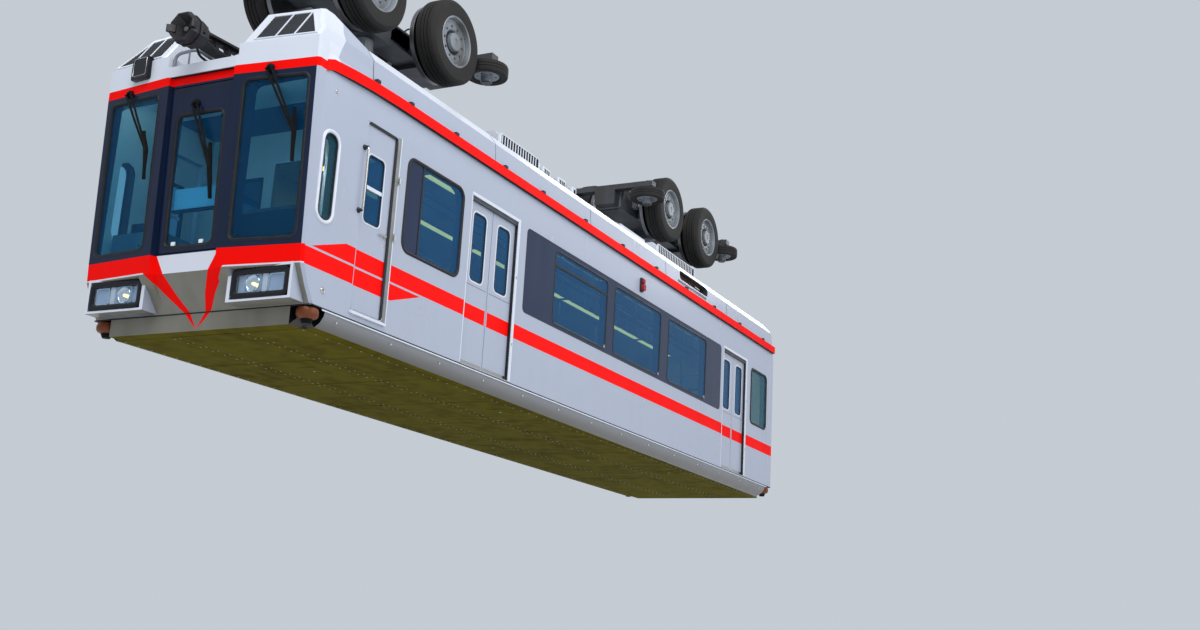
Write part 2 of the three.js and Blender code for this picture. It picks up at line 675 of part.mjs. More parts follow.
function guideWheelBody() {
  const { radius, low, high, hub } = guideWheel
  const bottom = guideFlange.high + runningGap
  const top = guideBeam.low - runningGap
  const profile = [
    [0, bottom], [hub, bottom], [hub, low + 25], [radius - 30, low], [radius, low + 25],
    [radius, high - 25], [radius - 30, high], [hub, high - 25], [hub, top], [0, top],
  ]
  const bore = rod(boreAround(guideWheel.pin, pinSides), bottom - 10, top + 10, pinSides, 'z', [0, 0, 0])
  return cut(turned(profile, pinSides, 'z', [0, 0, 0]), bore)
}

function rollerBody() {
  const { radius, low, high, top, cap, pin } = cornerRoller
  const bottom = cap + runningGap
  const head = top - runningGap
  const profile = [
    [0, bottom], [45, bottom], [radius - 12, low], [radius, low + 14], [radius, high], [45, high],
    [45, head], [0, head],
  ]
  const bore = rod(boreAround(pin, pinSides), bottom - 10, head + 10, pinSides, 'z', [0, 0, 0])
  return cut(turned(profile, pinSides, 'z', [0, 0, 0]), bore)
}

place('underframe', underframe(), materials.belly)
place('roof', roof(), materials.body)
place('rear_wall', rearWall(), materials.body)
place('end_door', endDoorLeaf(), materials.body)
place('front_mask', frontMask(), materials.navy)
place('emergency_door', frontDoorLeaf(), materials.navy)
place('roof_crown', roofCrown(), materials.white)
place('coupler_front', coupler(), materials.gear)
place('drawbar_rear', drawbar(), materials.gear)
place('air_conditioner_front', airConditioner(nose - 3490, nose - 4500), materials.white)
place('air_conditioner_rear', airConditioner(nose - 8000, nose - 9460), materials.white)
place('roof_cases', roofCases(), materials.white)
place('cab_bulkhead', cabBulkhead(), materials.interior)
place('driver_desk', driverDesk(), materials.black)

for (const { name, s } of sides) {
  place(`side_wall_${name}`, sideWall(s), materials.body)
  const screen = maskSheet(windscreen.set, windscreen.thick).intersect(screenPrism(s, gap))
  const bandPanel = windowPrism(band, s * (halfWidth - band.deep + gap), s * halfWidth, gap)
  place(`windscreen_${name}`, screen, materials.glass)
  place(`headlamp_${name}`, headlamp(s), materials.black)
  place(`window_band_${name}`, bandPanel, materials.glass)
  place(`pocket_window_${name}`, windowPrism(pocketWindow, s * pane.in, s * pane.out, gap), materials.glass)
  place(`rear_window_${name}`, windowPrism(rearWindow, s * pane.in, s * pane.out, gap), materials.glass)
  place(`seat_${name}`, bench(s), materials.seat)
  place(`crew_door_${name}`, crewDoorLeaf(s), materials.body)
  for (const { name: at, centre, half } of doorways) {
    place(`door_${at}_${name}_fore`, slidingLeaf(s, 1, half), materials.body, car, [centre, 0, 0])
    place(`door_${at}_${name}_aft`, slidingLeaf(s, -1, half), materials.body, car, [centre, 0, 0])
  }
  for (const { name: at, x } of cornerRollers) {
    place(`roller_${at}_${name}`, rollerBody(), materials.amber, car, [x, s * cornerRoller.at, seam])
  }
}

for (const { name, x } of bogies) {
  const bogie = new THREE.Group()
  bogie.position.set(x, 0, 0)
  car.add(bogie)
  place(`hanger_${name}`, hangerFrame(), materials.steel, bogie)
  place(`bogie_frame_${name}`, bogieFrame(), materials.gear, bogie)
  for (const [end, direction] of [['fore', 1], ['aft', -1]]) {
    place(`wheelset_${name}_${end}`, wheelset(), materials.tyre, bogie, [direction * axleAt, 0, tyre.radius])
    for (const { name: side, s } of sides) {
      place(`guide_wheel_${name}_${end}_${side}`, guideWheelBody(), materials.tyre, bogie,
        [direction * guideWheel.x, s * guideWheel.y, 0])
    }
  }
}

export default car
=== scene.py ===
# %% [markdown]
# The front car of a suspended monorail, dressed for the eye.
# The construction model gives every piece its place and size. This script keeps those and adds
# what the eye looks for: paint, glass, rubber, lamps, wipers, louvres, seats and running gear.
# Lengths are in metres, +X is forward, +Y the car's left and +Z up.

# %% Load the fixed frame
import math

import bmesh
import bpy
from mathutils import Matrix, Vector


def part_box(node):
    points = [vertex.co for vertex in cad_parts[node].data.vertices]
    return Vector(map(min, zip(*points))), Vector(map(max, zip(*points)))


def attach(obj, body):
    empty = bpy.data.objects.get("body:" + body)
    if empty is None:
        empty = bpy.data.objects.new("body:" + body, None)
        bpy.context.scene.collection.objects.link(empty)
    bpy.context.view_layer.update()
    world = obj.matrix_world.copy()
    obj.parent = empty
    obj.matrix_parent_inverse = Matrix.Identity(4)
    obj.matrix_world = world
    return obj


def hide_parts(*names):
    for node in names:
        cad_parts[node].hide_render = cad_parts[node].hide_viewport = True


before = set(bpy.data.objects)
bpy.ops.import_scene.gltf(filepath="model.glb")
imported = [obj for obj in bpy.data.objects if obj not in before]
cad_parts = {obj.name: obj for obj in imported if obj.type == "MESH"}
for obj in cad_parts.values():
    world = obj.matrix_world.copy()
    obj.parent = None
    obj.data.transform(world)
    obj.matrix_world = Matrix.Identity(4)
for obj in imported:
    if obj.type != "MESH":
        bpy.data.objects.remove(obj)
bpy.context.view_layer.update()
scene = bpy.context.scene

# %% [markdown]
# Every later size hangs on four values that are measured on the frame: the seam where the side
# walls stand on the floor, the nose, the rear end and half the body's width. A small function
# then turns "so far behind the nose, so high above the seam" into a point on a side wall.

# %% Sizes taken from the frame
mm = 0.001
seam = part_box("underframe")[1].z
half_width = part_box("underframe")[1].y
rear_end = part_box("rear_wall")[0].x
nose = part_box("headlamp_left")[1].x - 12 * mm
length = nose - rear_end
sides = {"left": 1, "right": -1}


def side(s):
    """A place on a side wall: distance behind the nose, height above the seam, distance out."""
    return lambda back, h, out=0.0: Vector((nose - back, s * (half_width + out), seam + h))


def ahead_at(x, y, h):
    """A place by its distance ahead of the nose, its y and its height above the seam."""
    return Vector((nose + x, y, seam + h))


def extent(node):
    """A node's box as (back from, back to), (y from, y to), (height from, height to)."""
    lo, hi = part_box(node)
    return (nose - hi.x, nose - lo.x), (lo.y, hi.y), (lo.z - seam, hi.z - seam)


print(f"seam {seam:.3f}  nose {nose:.3f}  length {length:.3f}  width {2 * half_width:.3f}")

# %% [markdown]
# The camera stands near the floor and looks up at the car's front left corner. Its place and
# turn are written as one sets up a real camera: yaw, pitch, roll and focal length.

# %% Camera
camera_place = Vector((15.471, 9.091, -6.376))
yaw, pitch, roll = (math.radians(a) for a in (207.007, 14.101, 3.215))
ahead = Vector((math.cos(yaw) * math.cos(pitch), math.sin(yaw) * math.cos(pitch), math.sin(pitch)))
level = ahead.cross(Vector((0, 0, 1))).normalized()
over = level.cross(ahead)
right = math.cos(roll) * level + math.sin(roll) * over
up = -math.sin(roll) * level + math.cos(roll) * over
camera_data = bpy.data.cameras.new("camera")
camera_data.sensor_width = 36
camera_data.lens = 41.35
camera = bpy.data.objects.new("camera", camera_data)
turn = Matrix((right, up, -ahead)).transposed().to_4x4()
camera.matrix_world = Matrix.Translation(camera_place) @ turn
scene.collection.objects.link(camera)
scene.camera = camera
print("camera looks along", [round(v, 3) for v in ahead])

# %% [markdown]
# Paint codes are sRGB hex values, but Blender mixes light in linear numbers, so one function
# converts them. A second one adds a node with its settings and links to any tree.

# %% Colour and node helpers


def linear(code):
    """An sRGB hex colour as linear RGBA."""
    channels = [int(code[i:i + 2], 16) / 255 for i in (1, 3, 5)]
    return (*[c / 12.92 if c <= 0.04045 else ((c + 0.055) / 1.055) ** 2.4 for c in channels], 1.0)


def add(tree, kind, inputs=None, **settings):
    """One node in a tree: its settings first, then its inputs, each a value or another socket."""
    node = tree.nodes.new(kind)
    for name, value in settings.items():
        setattr(node, name, value)
    for name, value in (inputs or {}).items():
        if isinstance(value, bpy.types.NodeSocket):
            tree.links.new(value, node.inputs[name])
        else:
            node.inputs[name].default_value = value
    return node


print("red in linear numbers", [round(c, 3) for c in linear("#FA0A04")])

# %% [markdown]
# A pale studio: one wide floor under the hanging car, a pale sky all round, a large soft lamp
# high over the nose, one on each side and one behind. Enamel needs something bright to mirror,
# so the lamps are as large as the car is long.

# %% Studio
scene.view_settings.view_transform = "Standard"
world = bpy.data.worlds.new("pale_sky")
world.use_nodes = True
sky = world.node_tree.nodes["Background"].inputs
sky["Color"].default_value = linear("#E4EBF4")
sky["Strength"].default_value = 0.72
scene.world = world

soft_lamps = {
    "over_nose": {"at": (13, 5, 9), "to": (4, 0, -2), "size": 9, "power": 1300},
    "left_side": {"at": (1, 15, 5), "to": (0, 0, -2), "size": 14, "power": 1100},
    "right_side": {"at": (-2, -14, 6), "to": (0, 0, -2), "size": 12, "power": 720},
    "behind": {"at": (-15, 2, 7), "to": (-5, 0, -2), "size": 8, "power": 700},
}
for name, lamp in soft_lamps.items():
    data = bpy.data.lights.new(name, "AREA")
    data.size = lamp["size"]
    data.energy = lamp["power"]
    light = bpy.data.objects.new(name, data)
    light.location = lamp["at"]
    light.rotation_mode = "QUATERNION"
    light.rotation_quaternion = (Vector(lamp["to"]) - Vector(lamp["at"])).to_track_quat("-Z", "Y")
    scene.collection.objects.link(light)

floor_drop = 0.15
floor_height = camera_place.z - floor_drop
floor_mesh = bpy.data.meshes.new("floor")
reach = 60
square = [(-reach, -reach), (reach, -reach), (reach, reach), (-reach, reach)]
floor_mesh.from_pydata([(x, y, floor_height) for x, y in square], [], [(0, 1, 2, 3)])
floor = bpy.data.objects.new("floor", floor_mesh)
scene.collection.objects.link(floor)
print("floor at", round(floor_height, 3))

# %% [markdown]
# Enamel on a rail car is sprayed in thick gloss coats over steel panels. Close up it has a fine
# orange peel, from further off the panels are slightly wavy, and rain draws faint streaks of
# dust down the sides. One recipe makes every enamel: the waves are 0.4 m long, the streaks
# 190 mm wide and six times as tall, the peel 5 mm. A soft gloss shows as a broad pale sheen,
# machinery enamel is duller and dustier. The belly's grey is a darker copy of the body colour
# that paints the shade under the car, and it darkens further towards the bottom as painted
# shade of its rounded sides. Under the floor and on the front skirt the colours paint shade
# with olive and warm light bounced up from the ground, over faint patches of dust.

# %% Enamel


def scale_of(size_mm):
    """The noise scale whose blobs are about that size, on coordinates in metres."""
    return 1000 / size_mm


def start_material(name):
    material = bpy.data.materials.new(name)
    material.use_nodes = True
    material.node_tree.nodes.clear()
    return material, material.node_tree


def enamel(name, clean, dust_and_shade_colour, dust=0.35, gloss=0.25, coat=0.5, shine=0.5, waves=0.35, shade_heights=None):
    """Sprayed enamel; the last argument gives two heights between which a painted shade fades out
    upwards.
    """
    material, tree = start_material(name)
    place = add(tree, "ShaderNodeTexCoord").outputs["Object"]
    stretched = add(tree, "ShaderNodeMapping", {"Vector": place, "Scale": (1, 1, 0.16)})
    streaks = add(tree, "ShaderNodeTexNoise", {
        "Vector": stretched.outputs["Vector"], "Scale": scale_of(190), "Detail": 1})
    patches = add(tree, "ShaderNodeTexNoise", {"Vector": place, "Scale": scale_of(900), "Detail": 3})
    both = add(tree, "ShaderNodeMath", {
        0: streaks.outputs["Fac"], 1: patches.outputs["Fac"]}, operation="MULTIPLY")
    amount = add(tree, "ShaderNodeMapRange", {
        "Value": both.outputs[0], "From Min": 0.18, "From Max": 0.42, "To Min": 0, "To Max": dust})
    # painted shade: below the first height the colour is fully the darker one, fading out by the
    # second, so a rounded underside looks shaded towards its bottom
    if shade_heights:
        height = add(tree, "ShaderNodeSeparateXYZ", {"Vector": place})
        shade_fade = add(tree, "ShaderNodeMapRange", {
            "Value": height.outputs["Z"], "From Min": shade_heights[0], "From Max": shade_heights[1],
            "To Min": 1, "To Max": 0})
        amount = add(tree, "ShaderNodeMath", {0: amount.outputs[0], 1: shade_fade.outputs[0]},
            operation="MAXIMUM")
    colour = add(tree, "ShaderNodeMix", {
        "Factor": amount.outputs[0], "A": linear(clean), "B": linear(dust_and_shade_colour)}, data_type="RGBA")
    polish = add(tree, "ShaderNodeMapRange", {
        "Value": both.outputs[0], "From Min": 0.15, "From Max": 0.45,
        "To Min": gloss - 0.02, "To Max": gloss + 0.04})
    panel = add(tree, "ShaderNodeTexNoise", {"Vector": place, "Scale": scale_of(400), "Detail": 1})
    peel = add(tree, "ShaderNodeTexNoise", {"Vector": place, "Scale": scale_of(5), "Detail": 1})
    wavy = add(tree, "ShaderNodeBump", {
        "Height": panel.outputs["Fac"], "Strength": waves, "Distance": 8 * mm})
    skin_bump = add(tree, "ShaderNodeBump", {
        "Height": peel.outputs["Fac"], "Strength": 0.12, "Distance": 0.3 * mm,
        "Normal": wavy.outputs["Normal"]})
    shader = add(tree, "ShaderNodeBsdfPrincipled", {
        "Base Color": colour.outputs["Result"], "Roughness": polish.outputs[0],
        "Normal": skin_bump.outputs["Normal"], "Specular IOR Level": shine,
        "Coat Weight": coat, "Coat Roughness": 0.2})
    add(tree, "ShaderNodeOutputMaterial", {"Surface": shader.outputs["BSDF"]})
    return material


body_enamel = enamel("blue_grey_gloss_enamel", "#AAB1C1", "#989CA6", dust=0.10, coat=0.15, shine=0.35)
red_enamel = enamel("signal_red_gloss_enamel", "#FA0A04", "#E01008", dust=0.2, gloss=0.5, coat=0.0,
    shine=0.05)
navy_enamel = enamel("midnight_navy_gloss_enamel", "#111D36", "#1D2A42", dust=0.25, gloss=0.16,
    coat=0.0, shine=0.22)
white_enamel = enamel("white_gloss_enamel", "#D6DBE5", "#C0C1C4", dust=0.10, coat=0.1, shine=0.35,
    waves=0.1)
# painted shade: the belly is the body's grey painted darker to stand for the shade under the car, and
# darker still towards its bottom; the faint patches are dust
belly_shade_enamel = enamel("dusted_grey_belly_painted_shade_enamel", "#85878B", "#4B432B", dust=0.1, gloss=0.35, coat=0.1,
    shine=0.3, shade_heights=(seam - 0.22, seam - 0.05))
# painted shade and painted reflection: the olive stands for the green ground's light bounced onto the
# shaded underside, over patches of dust
underfloor_bounce_enamel = enamel("dusted_underfloor_painted_olive_bounce_enamel", "#57500A", "#403806", dust=0.8, gloss=0.7,
    coat=0.0, shine=0.02)
# painted shade: the front skirt's warm grey stands for the body colour in shade with warm light bounced
# from the ground
shaded_skirt_enamel = enamel("warm_grey_skirt_painted_shade_enamel", "#7C7A70", "#5C543E", dust=0.4, gloss=0.35, coat=0.1,
    shine=0.3)
deck_enamel = enamel("anti_slip_roof_enamel", "#8C9096", "#57544C", dust=0.9, gloss=0.65, coat=0.0)
steel_enamel = enamel("grey_machinery_enamel", "#7C838A", "#4A4640", dust=0.8, gloss=0.45, coat=0.1)
gear_enamel = enamel("dark_machinery_enamel", "#3C4147", "#2A2622", dust=0.8, gloss=0.5, coat=0.1)
black_enamel = enamel("black_semi_gloss_enamel", "#0B0C0E", "#1A1917", dust=0.4, gloss=0.55, coat=0.0,
    shine=0.1)
print("enamels", len([m for m in bpy.data.materials if m.name.endswith("enamel")]))

# %% [markdown]
# Rubber, plastic and laminate are moulded or pressed, so they scatter light much more than the
# enamel does. Their grain is fine: 3 mm for rubber's bloom, 2 mm for moulded plastic. Rubber
# looks soft and black with a grey bloom, laminate pale and even, polished ABS almost wet.

# %% Rubber, plastic and laminate


def moulded(name, colour, bloom, grain_mm, roughness, depth=0.25):
    """A moulded finish: two close colours in soft patches, and a fine grain in the surface."""
    material, tree = start_material(name)
    place = add(tree, "ShaderNodeTexCoord").outputs["Object"]
    patches = add(tree, "ShaderNodeTexNoise", {"Vector": place, "Scale": scale_of(120), "Detail": 4})
    grain = add(tree, "ShaderNodeTexVoronoi", {"Vector": place, "Scale": scale_of(grain_mm)})
    blend = add(tree, "ShaderNodeMix", {
        "Factor": patches.outputs["Fac"], "A": linear(colour), "B": linear(bloom)}, data_type="RGBA")
    rough = add(tree, "ShaderNodeMapRange", {
        "Value": patches.outputs["Fac"], "To Min": roughness - 0.08, "To Max": roughness + 0.08})
    bump = add(tree, "ShaderNodeBump", {
        "Height": grain.outputs["Distance"], "Strength": depth, "Distance": 0.4 * mm})
    shader = add(tree, "ShaderNodeBsdfPrincipled", {
        "Base Color": blend.outputs["Result"], "Roughness": rough.outputs[0],
        "Normal": bump.outputs["Normal"], "Specular IOR Level": 0.3})
    add(tree, "ShaderNodeOutputMaterial", {"Surface": shader.outputs["BSDF"]})
    return material


seal_rubber = moulded("extruded_seal_rubber", "#14161A", "#24262A", 3, 0.55)
tyre_rubber = moulded("black_tyre_rubber", "#1A1A1B", "#302E2B", 4, 0.8, depth=0.4)
amber_urethane = moulded("cast_amber_urethane", "#7F3E18", "#55290F", 6, 0.35, depth=0.1)
grained_plastic = moulded("grained_abs_plastic", "#1B1D21", "#26282C", 2, 0.5)
bezel_plastic = moulded("gloss_black_abs", "#0A0C11", "#12161D", 8, 0.26, depth=0.05)
cream_laminate = moulded("cream_wall_laminate", "#DAD8CE", "#CDCBC0", 4, 0.45, depth=0.08)
ceiling_laminate = moulded("white_ceiling_laminate", "#E6E6E0", "#DAD9D2", 4, 0.5, depth=0.08)
floor_vinyl = moulded("speckled_floor_vinyl", "#7D8086", "#94969A", 3, 0.5, depth=0.1)
# painted reflection: a pale blue-grey that stands for the bright shine of a silvered lamp housing
housing_reflection_plastic = moulded("lamp_housing_painted_reflection", "#B9CAE2", "#A6B9D4", 8, 0.25, depth=0.05)
cab_lining = moulded("dark_blue_cab_lining", "#23405C", "#1D364F", 4, 0.6)
sign_acrylic = moulded("white_sign_acrylic", "#E6F1F2", "#DCE9EA", 6, 0.2, depth=0.03)
red_lens = moulded("moulded_red_lens", "#8A0E14", "#A3161A", 12, 0.2, depth=0.15)
print("moulded finishes done, materials", len(bpy.data.materials))

# %% [markdown]
# Bare metals keep their default index of refraction and get their look from colour, roughness
# and a direction: rolled or drawn metal has fine lines along it, cast metal has a pebbled skin.

# %% Metals


def metal(name, colour, worn, roughness, grain_mm, stretch=(1, 1, 1), depth=0.1):
    """A bare metal with a grain of the given size, drawn out along the small stretch values."""
    material, tree = start_material(name)
    place = add(tree, "ShaderNodeTexCoord").outputs["Object"]
    drawn = add(tree, "ShaderNodeMapping", {"Vector": place, "Scale": stretch})
    grain = add(tree, "ShaderNodeTexNoise", {
        "Vector": drawn.outputs["Vector"], "Scale": scale_of(grain_mm), "Detail": 3})
    stains = add(tree, "ShaderNodeTexNoise", {"Vector": place, "Scale": scale_of(150), "Detail": 4})
    blend = add(tree, "ShaderNodeMix", {
        "Factor": stains.outputs["Fac"], "A": linear(colour), "B": linear(worn)}, data_type="RGBA")
    rough = add(tree, "ShaderNodeMapRange", {
        "Value": stains.outputs["Fac"], "To Min": roughness - 0.08, "To Max": roughness + 0.12})
    bump = add(tree, "ShaderNodeBump", {
        "Height": grain.outputs["Fac"], "Strength": depth, "Distance": 0.3 * mm})
    shader = add(tree, "ShaderNodeBsdfPrincipled", {
        "Base Color": blend.outputs["Result"], "Roughness": rough.outputs[0],
        "Normal": bump.outputs["Normal"], "Metallic": 1.0})
    add(tree, "ShaderNodeOutputMaterial", {"Surface": shader.outputs["BSDF"]})
    return material


aluminium = metal("anodised_aluminium", "#D3D6DA", "#B4B7BA", 0.32, 3, (1, 1, 0.1))
stainless = metal("brushed_stainless_steel", "#CFCFCB", "#B3B2AD", 0.24, 2, (0.1, 1, 1))
zinc = metal("galvanised_steel", "#A9ACAE", "#7E7D79", 0.45, 18)
machined = metal("machined_steel", "#8E9092", "#5E5B57", 0.3, 4, (1, 0.1, 1))
reflector = metal("vacuum_coated_reflector", "#EEF3F8", "#DDE6EF", 0.12, 30, depth=0.03)
cast_iron = metal("sand_cast_iron", "#55575C", "#35302C", 0.5, 6, depth=0.4)
copper_pipe = metal("tarnished_copper_pipe", "#8A5236", "#4A3527", 0.4, 20)
print("metals done, materials", len(bpy.data.materials))

# %% [markdown]
# Tinted safety glass is two sheets with a blue-green film. Seen from outside it does three
# things at once: it mirrors the sky, most at a glancing angle, it shows a deep blue, and it lets
# part of the room behind through. The blue is partly its own teal film and partly a painted
# reflection of a blue sky. A mix of a clear tinted shader and a glossy one in that blue,
# weighed by how obliquely it is seen, gives those three without the noise of real refraction.

# %% Glass, lenses and lamps


def glazing(name, seen_through, own, cover, glint=0.7):
    """Thin glass: the tint of what is seen through, a glossy colour that is its tint with a painted sky
    reflection, and how much that covers.
    """
    material, tree = start_material(name)
    place = add(tree, "ShaderNodeTexCoord").outputs["Object"]
    ripple = add(tree, "ShaderNodeTexNoise", {"Vector": place, "Scale": scale_of(350), "Detail": 1})
    bump = add(tree, "ShaderNodeBump", {
        "Height": ripple.outputs["Fac"], "Strength": 0.15, "Distance": 4 * mm})
    # own is the glass's tint together with a painted reflection of a blue sky, in two close shades
    tint_and_sky_film = add(tree, "ShaderNodeMix", {
        "Factor": ripple.outputs["Fac"], "A": linear(own[0]), "B": linear(own[1])}, data_type="RGBA")
    clear = add(tree, "ShaderNodeBsdfTransparent", {"Color": linear(seen_through)})
    gloss = add(tree, "ShaderNodeBsdfPrincipled", {
        "Base Color": tint_and_sky_film.outputs["Result"], "Roughness": 0.04, "Normal": bump.outputs["Normal"],
        "Specular IOR Level": 0.6})
    slant = add(tree, "ShaderNodeLayerWeight", {"Blend": 0.5, "Normal": bump.outputs["Normal"]})
    steep = add(tree, "ShaderNodeMath", {0: slant.outputs["Facing"], 1: 4}, operation="POWER")
    share = add(tree, "ShaderNodeMapRange", {
        "Value": steep.outputs[0], "To Min": cover, "To Max": glint})
    mixed = add(tree, "ShaderNodeMixShader", {
        0: share.outputs[0], 1: clear.outputs["BSDF"], 2: gloss.outputs["BSDF"]})
    add(tree, "ShaderNodeOutputMaterial", {"Surface": mixed.outputs["Shader"]})
    return material


def lit(name, colour, strength):
    """A lamp's glowing face, a little uneven because its tube shows through the cover."""
    material, tree = start_material(name)
    place = add(tree, "ShaderNodeTexCoord").outputs["Object"]
    haze = add(tree, "ShaderNodeTexNoise", {"Vector": place, "Scale": scale_of(200), "Detail": 1})
    power = add(tree, "ShaderNodeMapRange", {
        "Value": haze.outputs["Fac"], "To Min": strength * 0.85, "To Max": strength * 1.15})
    shader = add(tree, "ShaderNodeBsdfPrincipled", {
        "Base Color": linear("#E8E8D8"), "Roughness": 0.4, "Emission Color": linear(colour),
        "Emission Strength": power.outputs[0]})
    add(tree, "ShaderNodeOutputMaterial", {"Surface": shader.outputs["BSDF"]})
    return material


# painted reflection: the blues given to the panes stand partly for the sky mirrored in them
window_glass = glazing("tinted_safety_glass", "#B4D2DE", ("#126098", "#1A6EA4"), 0.28)
screen_glass = glazing("laminated_screen_glass", "#BCE6F4", ("#0A5C8E", "#10689A"), 0.13)
pale_glass = glazing("lightly_tinted_safety_glass", "#F0FAFC", ("#4A92AC", "#549CB6"), 0.07)
band_glass = enamel("back_painted_band_glass", "#232E47", "#2F3A52", dust=0.3, gloss=0.14, coat=0.0,
    shine=0.22)
clear_lens = glazing("clear_polycarbonate_lens", "#F4F8FA", ("#B9C8D6", "#C6D3DF"), 0.08, 0.5)
tube_light = lit("fluorescent_tube_cover", "#FFDC7E", 2.6)
cab_light = lit("cab_lamp_cover", "#EAF2FF", 14)
pale_concrete = enamel("pale_studio_floor", "#E3E4E6", "#D6D7D9", dust=0.5, gloss=0.5, coat=0.0)
floor_mesh.materials.append(pale_concrete)
print("materials", len(bpy.data.materials))

# %% [markdown]
# Most pieces are flat outlines given a thickness, beads run round an outline, tubes run along a
# path, or turned bodies. A few short functions build each of those into one bmesh, so that a
# piece made of twenty such shapes is still one mesh with its own materials.

# %% Shape helpers


def rounded(a0, a1, b0, b1, radius, steps=6):
    """The outline of a rounded rectangle, anticlockwise."""
    corners = [(a1 - radius, b1 - radius), (a0 + radius, b1 - radius), (a0 + radius, b0 + radius),
        (a1 - radius, b0 + radius)]
    points = []
    for turn_count, (a, b) in enumerate(corners):
        for i in range(steps + 1):
            angle = (turn_count + i / steps) * math.pi / 2
            points.append((a + radius * math.cos(angle), b + radius * math.sin(angle)))
    return points


def grown(outline, by):
    """An outline moved outwards by a distance, or inwards where it is negative."""
    count = len(outline)
    area = sum(a[0] * b[1] - b[0] * a[1] for a, b in zip(outline, outline[1:] + outline[:1]))
    turn_sign = math.copysign(1, area)
    moved = []
    for i, here in enumerate(outline):
        before, after = Vector(outline[i - 1]), Vector(outline[(i + 1) % count])
        one, two = (Vector(here) - before).normalized(), (after - Vector(here)).normalized()
        normals = [Vector((d.y, -d.x)) * turn_sign for d in (one, two)]
        middle = (normals[0] + normals[1]).normalized()
        moved.append(tuple(Vector(here) + middle * by / max(0.3, middle.dot(normals[0]))))
    return moved


def wall_of(form, rings, material, closed=False):
    """Quads between rings of vertices with equal counts, and back to the first if closed."""
    for ring, following in zip(rings, rings[1:] + (rings[:1] if closed else [])):
        count = len(ring)
        for i in range(count):
            j = (i + 1) % count
            face = form.faces.new((ring[i], ring[j], following[j], following[i]))
            face.material_index = material


def prism(form, place, outline, d0, d1, material=0):
    """A flat outline on a surface, thick from d0 to d1."""
    rings = [[form.verts.new(place(a, b, d)) for a, b in outline] for d in (d0, d1)]
    wall_of(form, rings, material)
    for ring in rings:
        form.faces.new(ring).material_index = material


def plate(form, place, a0, a1, b0, b1, corner, low, high, material=0, steps=3):
    """A rounded plate: its spans in metres, its corners and both its faces in millimetres."""
    prism(form, place, rounded(a0, a1, b0, b1, corner * mm, steps), low * mm, high * mm, material)


def pierced(form, place, outline, holes, d0, d1, material=0):
    """A flat outline with holes in it, thick from d0 to d1."""
    loops = [outline, *holes]
    layers = [[[form.verts.new(place(a, b, d)) for a, b in loop] for loop in loops] for d in (d0, d1)]
    for low, high in zip(*layers):
        wall_of(form, [low, high], material)
    for layer in layers:
        edges = []
        for loop in layer:
            edges += [form.edges.get((loop[i - 1], loop[i])) for i in range(len(loop))]
        filled = bmesh.ops.triangle_fill(form, use_beauty=True, use_dissolve=False, edges=edges)
        for face in filled["geom"]:
            if isinstance(face, bmesh.types.BMFace):
                face.material_index = material


def bead(form, place, outline, section, material=0):
    """A bead run round an outline; its section is a list of (distance outwards, height)."""
    rings = []
    for u, v in section:
        rings.append([form.verts.new(place(a, b, v)) for a, b in grown(outline, u)])
    wall_of(form, rings, material, closed=True)


def in_mm(*pairs):
    """A profile written in millimetres, as pairs in metres."""
    return [(a * mm, b * mm) for a, b in pairs]


def soft_section(inner, outer, low, high, steps=4):
    """A bead's section with a rounded back, in millimetres: inner to outer, low to high."""
    inner, outer, low, high = (v * mm for v in (inner, outer, low, high))
    middle, half = (inner + outer) / 2, (outer - inner) / 2
    arch = []
    for i in range(steps + 1):
        angle = math.pi * i / steps
        arch.append((middle + half * math.cos(angle), high - half + half * math.sin(angle)
                     if high - low > half else low + (high - low) * math.sin(angle)))
    return [(outer, low), *arch, (inner, low)] if high - low > half else arch


def sides_of(axis):
    """Two directions at right angles to an axis."""
    axis = Vector(axis).normalized()
    helper = Vector((0, 0, 1)) if abs(axis.z) < 0.9 else Vector((1, 0, 0))
    first = axis.cross(helper).normalized()
    return axis, first, axis.cross(first)


def turned(form, profile, centre, axis, count=32, material=0):
    """A body turned about an axis through centre, from (radius, distance along) pairs."""
    along, first, second = sides_of(axis)
    rings = []
    for radius, distance in profile:
        middle = Vector(centre) + along * distance
        if radius < 1e-6:
            rings.append([form.verts.new(middle)])
            continue
        rings.append([form.verts.new(
            middle + radius * (math.cos(2 * math.pi * i / count) * first
                               + math.sin(2 * math.pi * i / count) * second)) for i in range(count)])
    for ring, following in zip(rings, rings[1:]):
        for i in range(count):
            j = (i + 1) % count
            corners = [ring[i % len(ring)], ring[j % len(ring)], following[j % len(following)],
                following[i % len(following)]]
            corners = list(dict.fromkeys(corners))
            form.faces.new(corners).material_index = material


def rod(form, start, end, radius, count=12, material=0):
    """A round bar between two points, with slightly rounded ends."""
    start, end = Vector(start), Vector(end)
    span = (end - start).length
    soft = min(radius * 0.3, span * 0.2)
    profile = [(0, 0), (radius - soft, 0), (radius, soft), (radius, span - soft), (radius - soft, span),
        (0, span)]
    turned(form, profile, start, end - start, count, material)


def tube(form, points, radius, count=10, material=0):
    """A round bar bent along a path of points."""
    points = [Vector(p) for p in points]
    tangents = []
    for i in range(len(points)):
        tangents.append((points[min(i + 1, len(points) - 1)] - points[max(i - 1, 0)]).normalized())
    _, normal, _ = sides_of(tangents[0])
    rings = []
    for point, tangent in zip(points, tangents):
        normal = (normal - tangent * normal.dot(tangent)).normalized()
        other = tangent.cross(normal)
        rings.append([form.verts.new(
            point + radius * (math.cos(2 * math.pi * i / count) * normal
                              + math.sin(2 * math.pi * i / count) * other)) for i in range(count)])
    wall_of(form, rings, material)
    for ring in (rings[0], rings[-1]):
        form.faces.new(ring).material_index = material


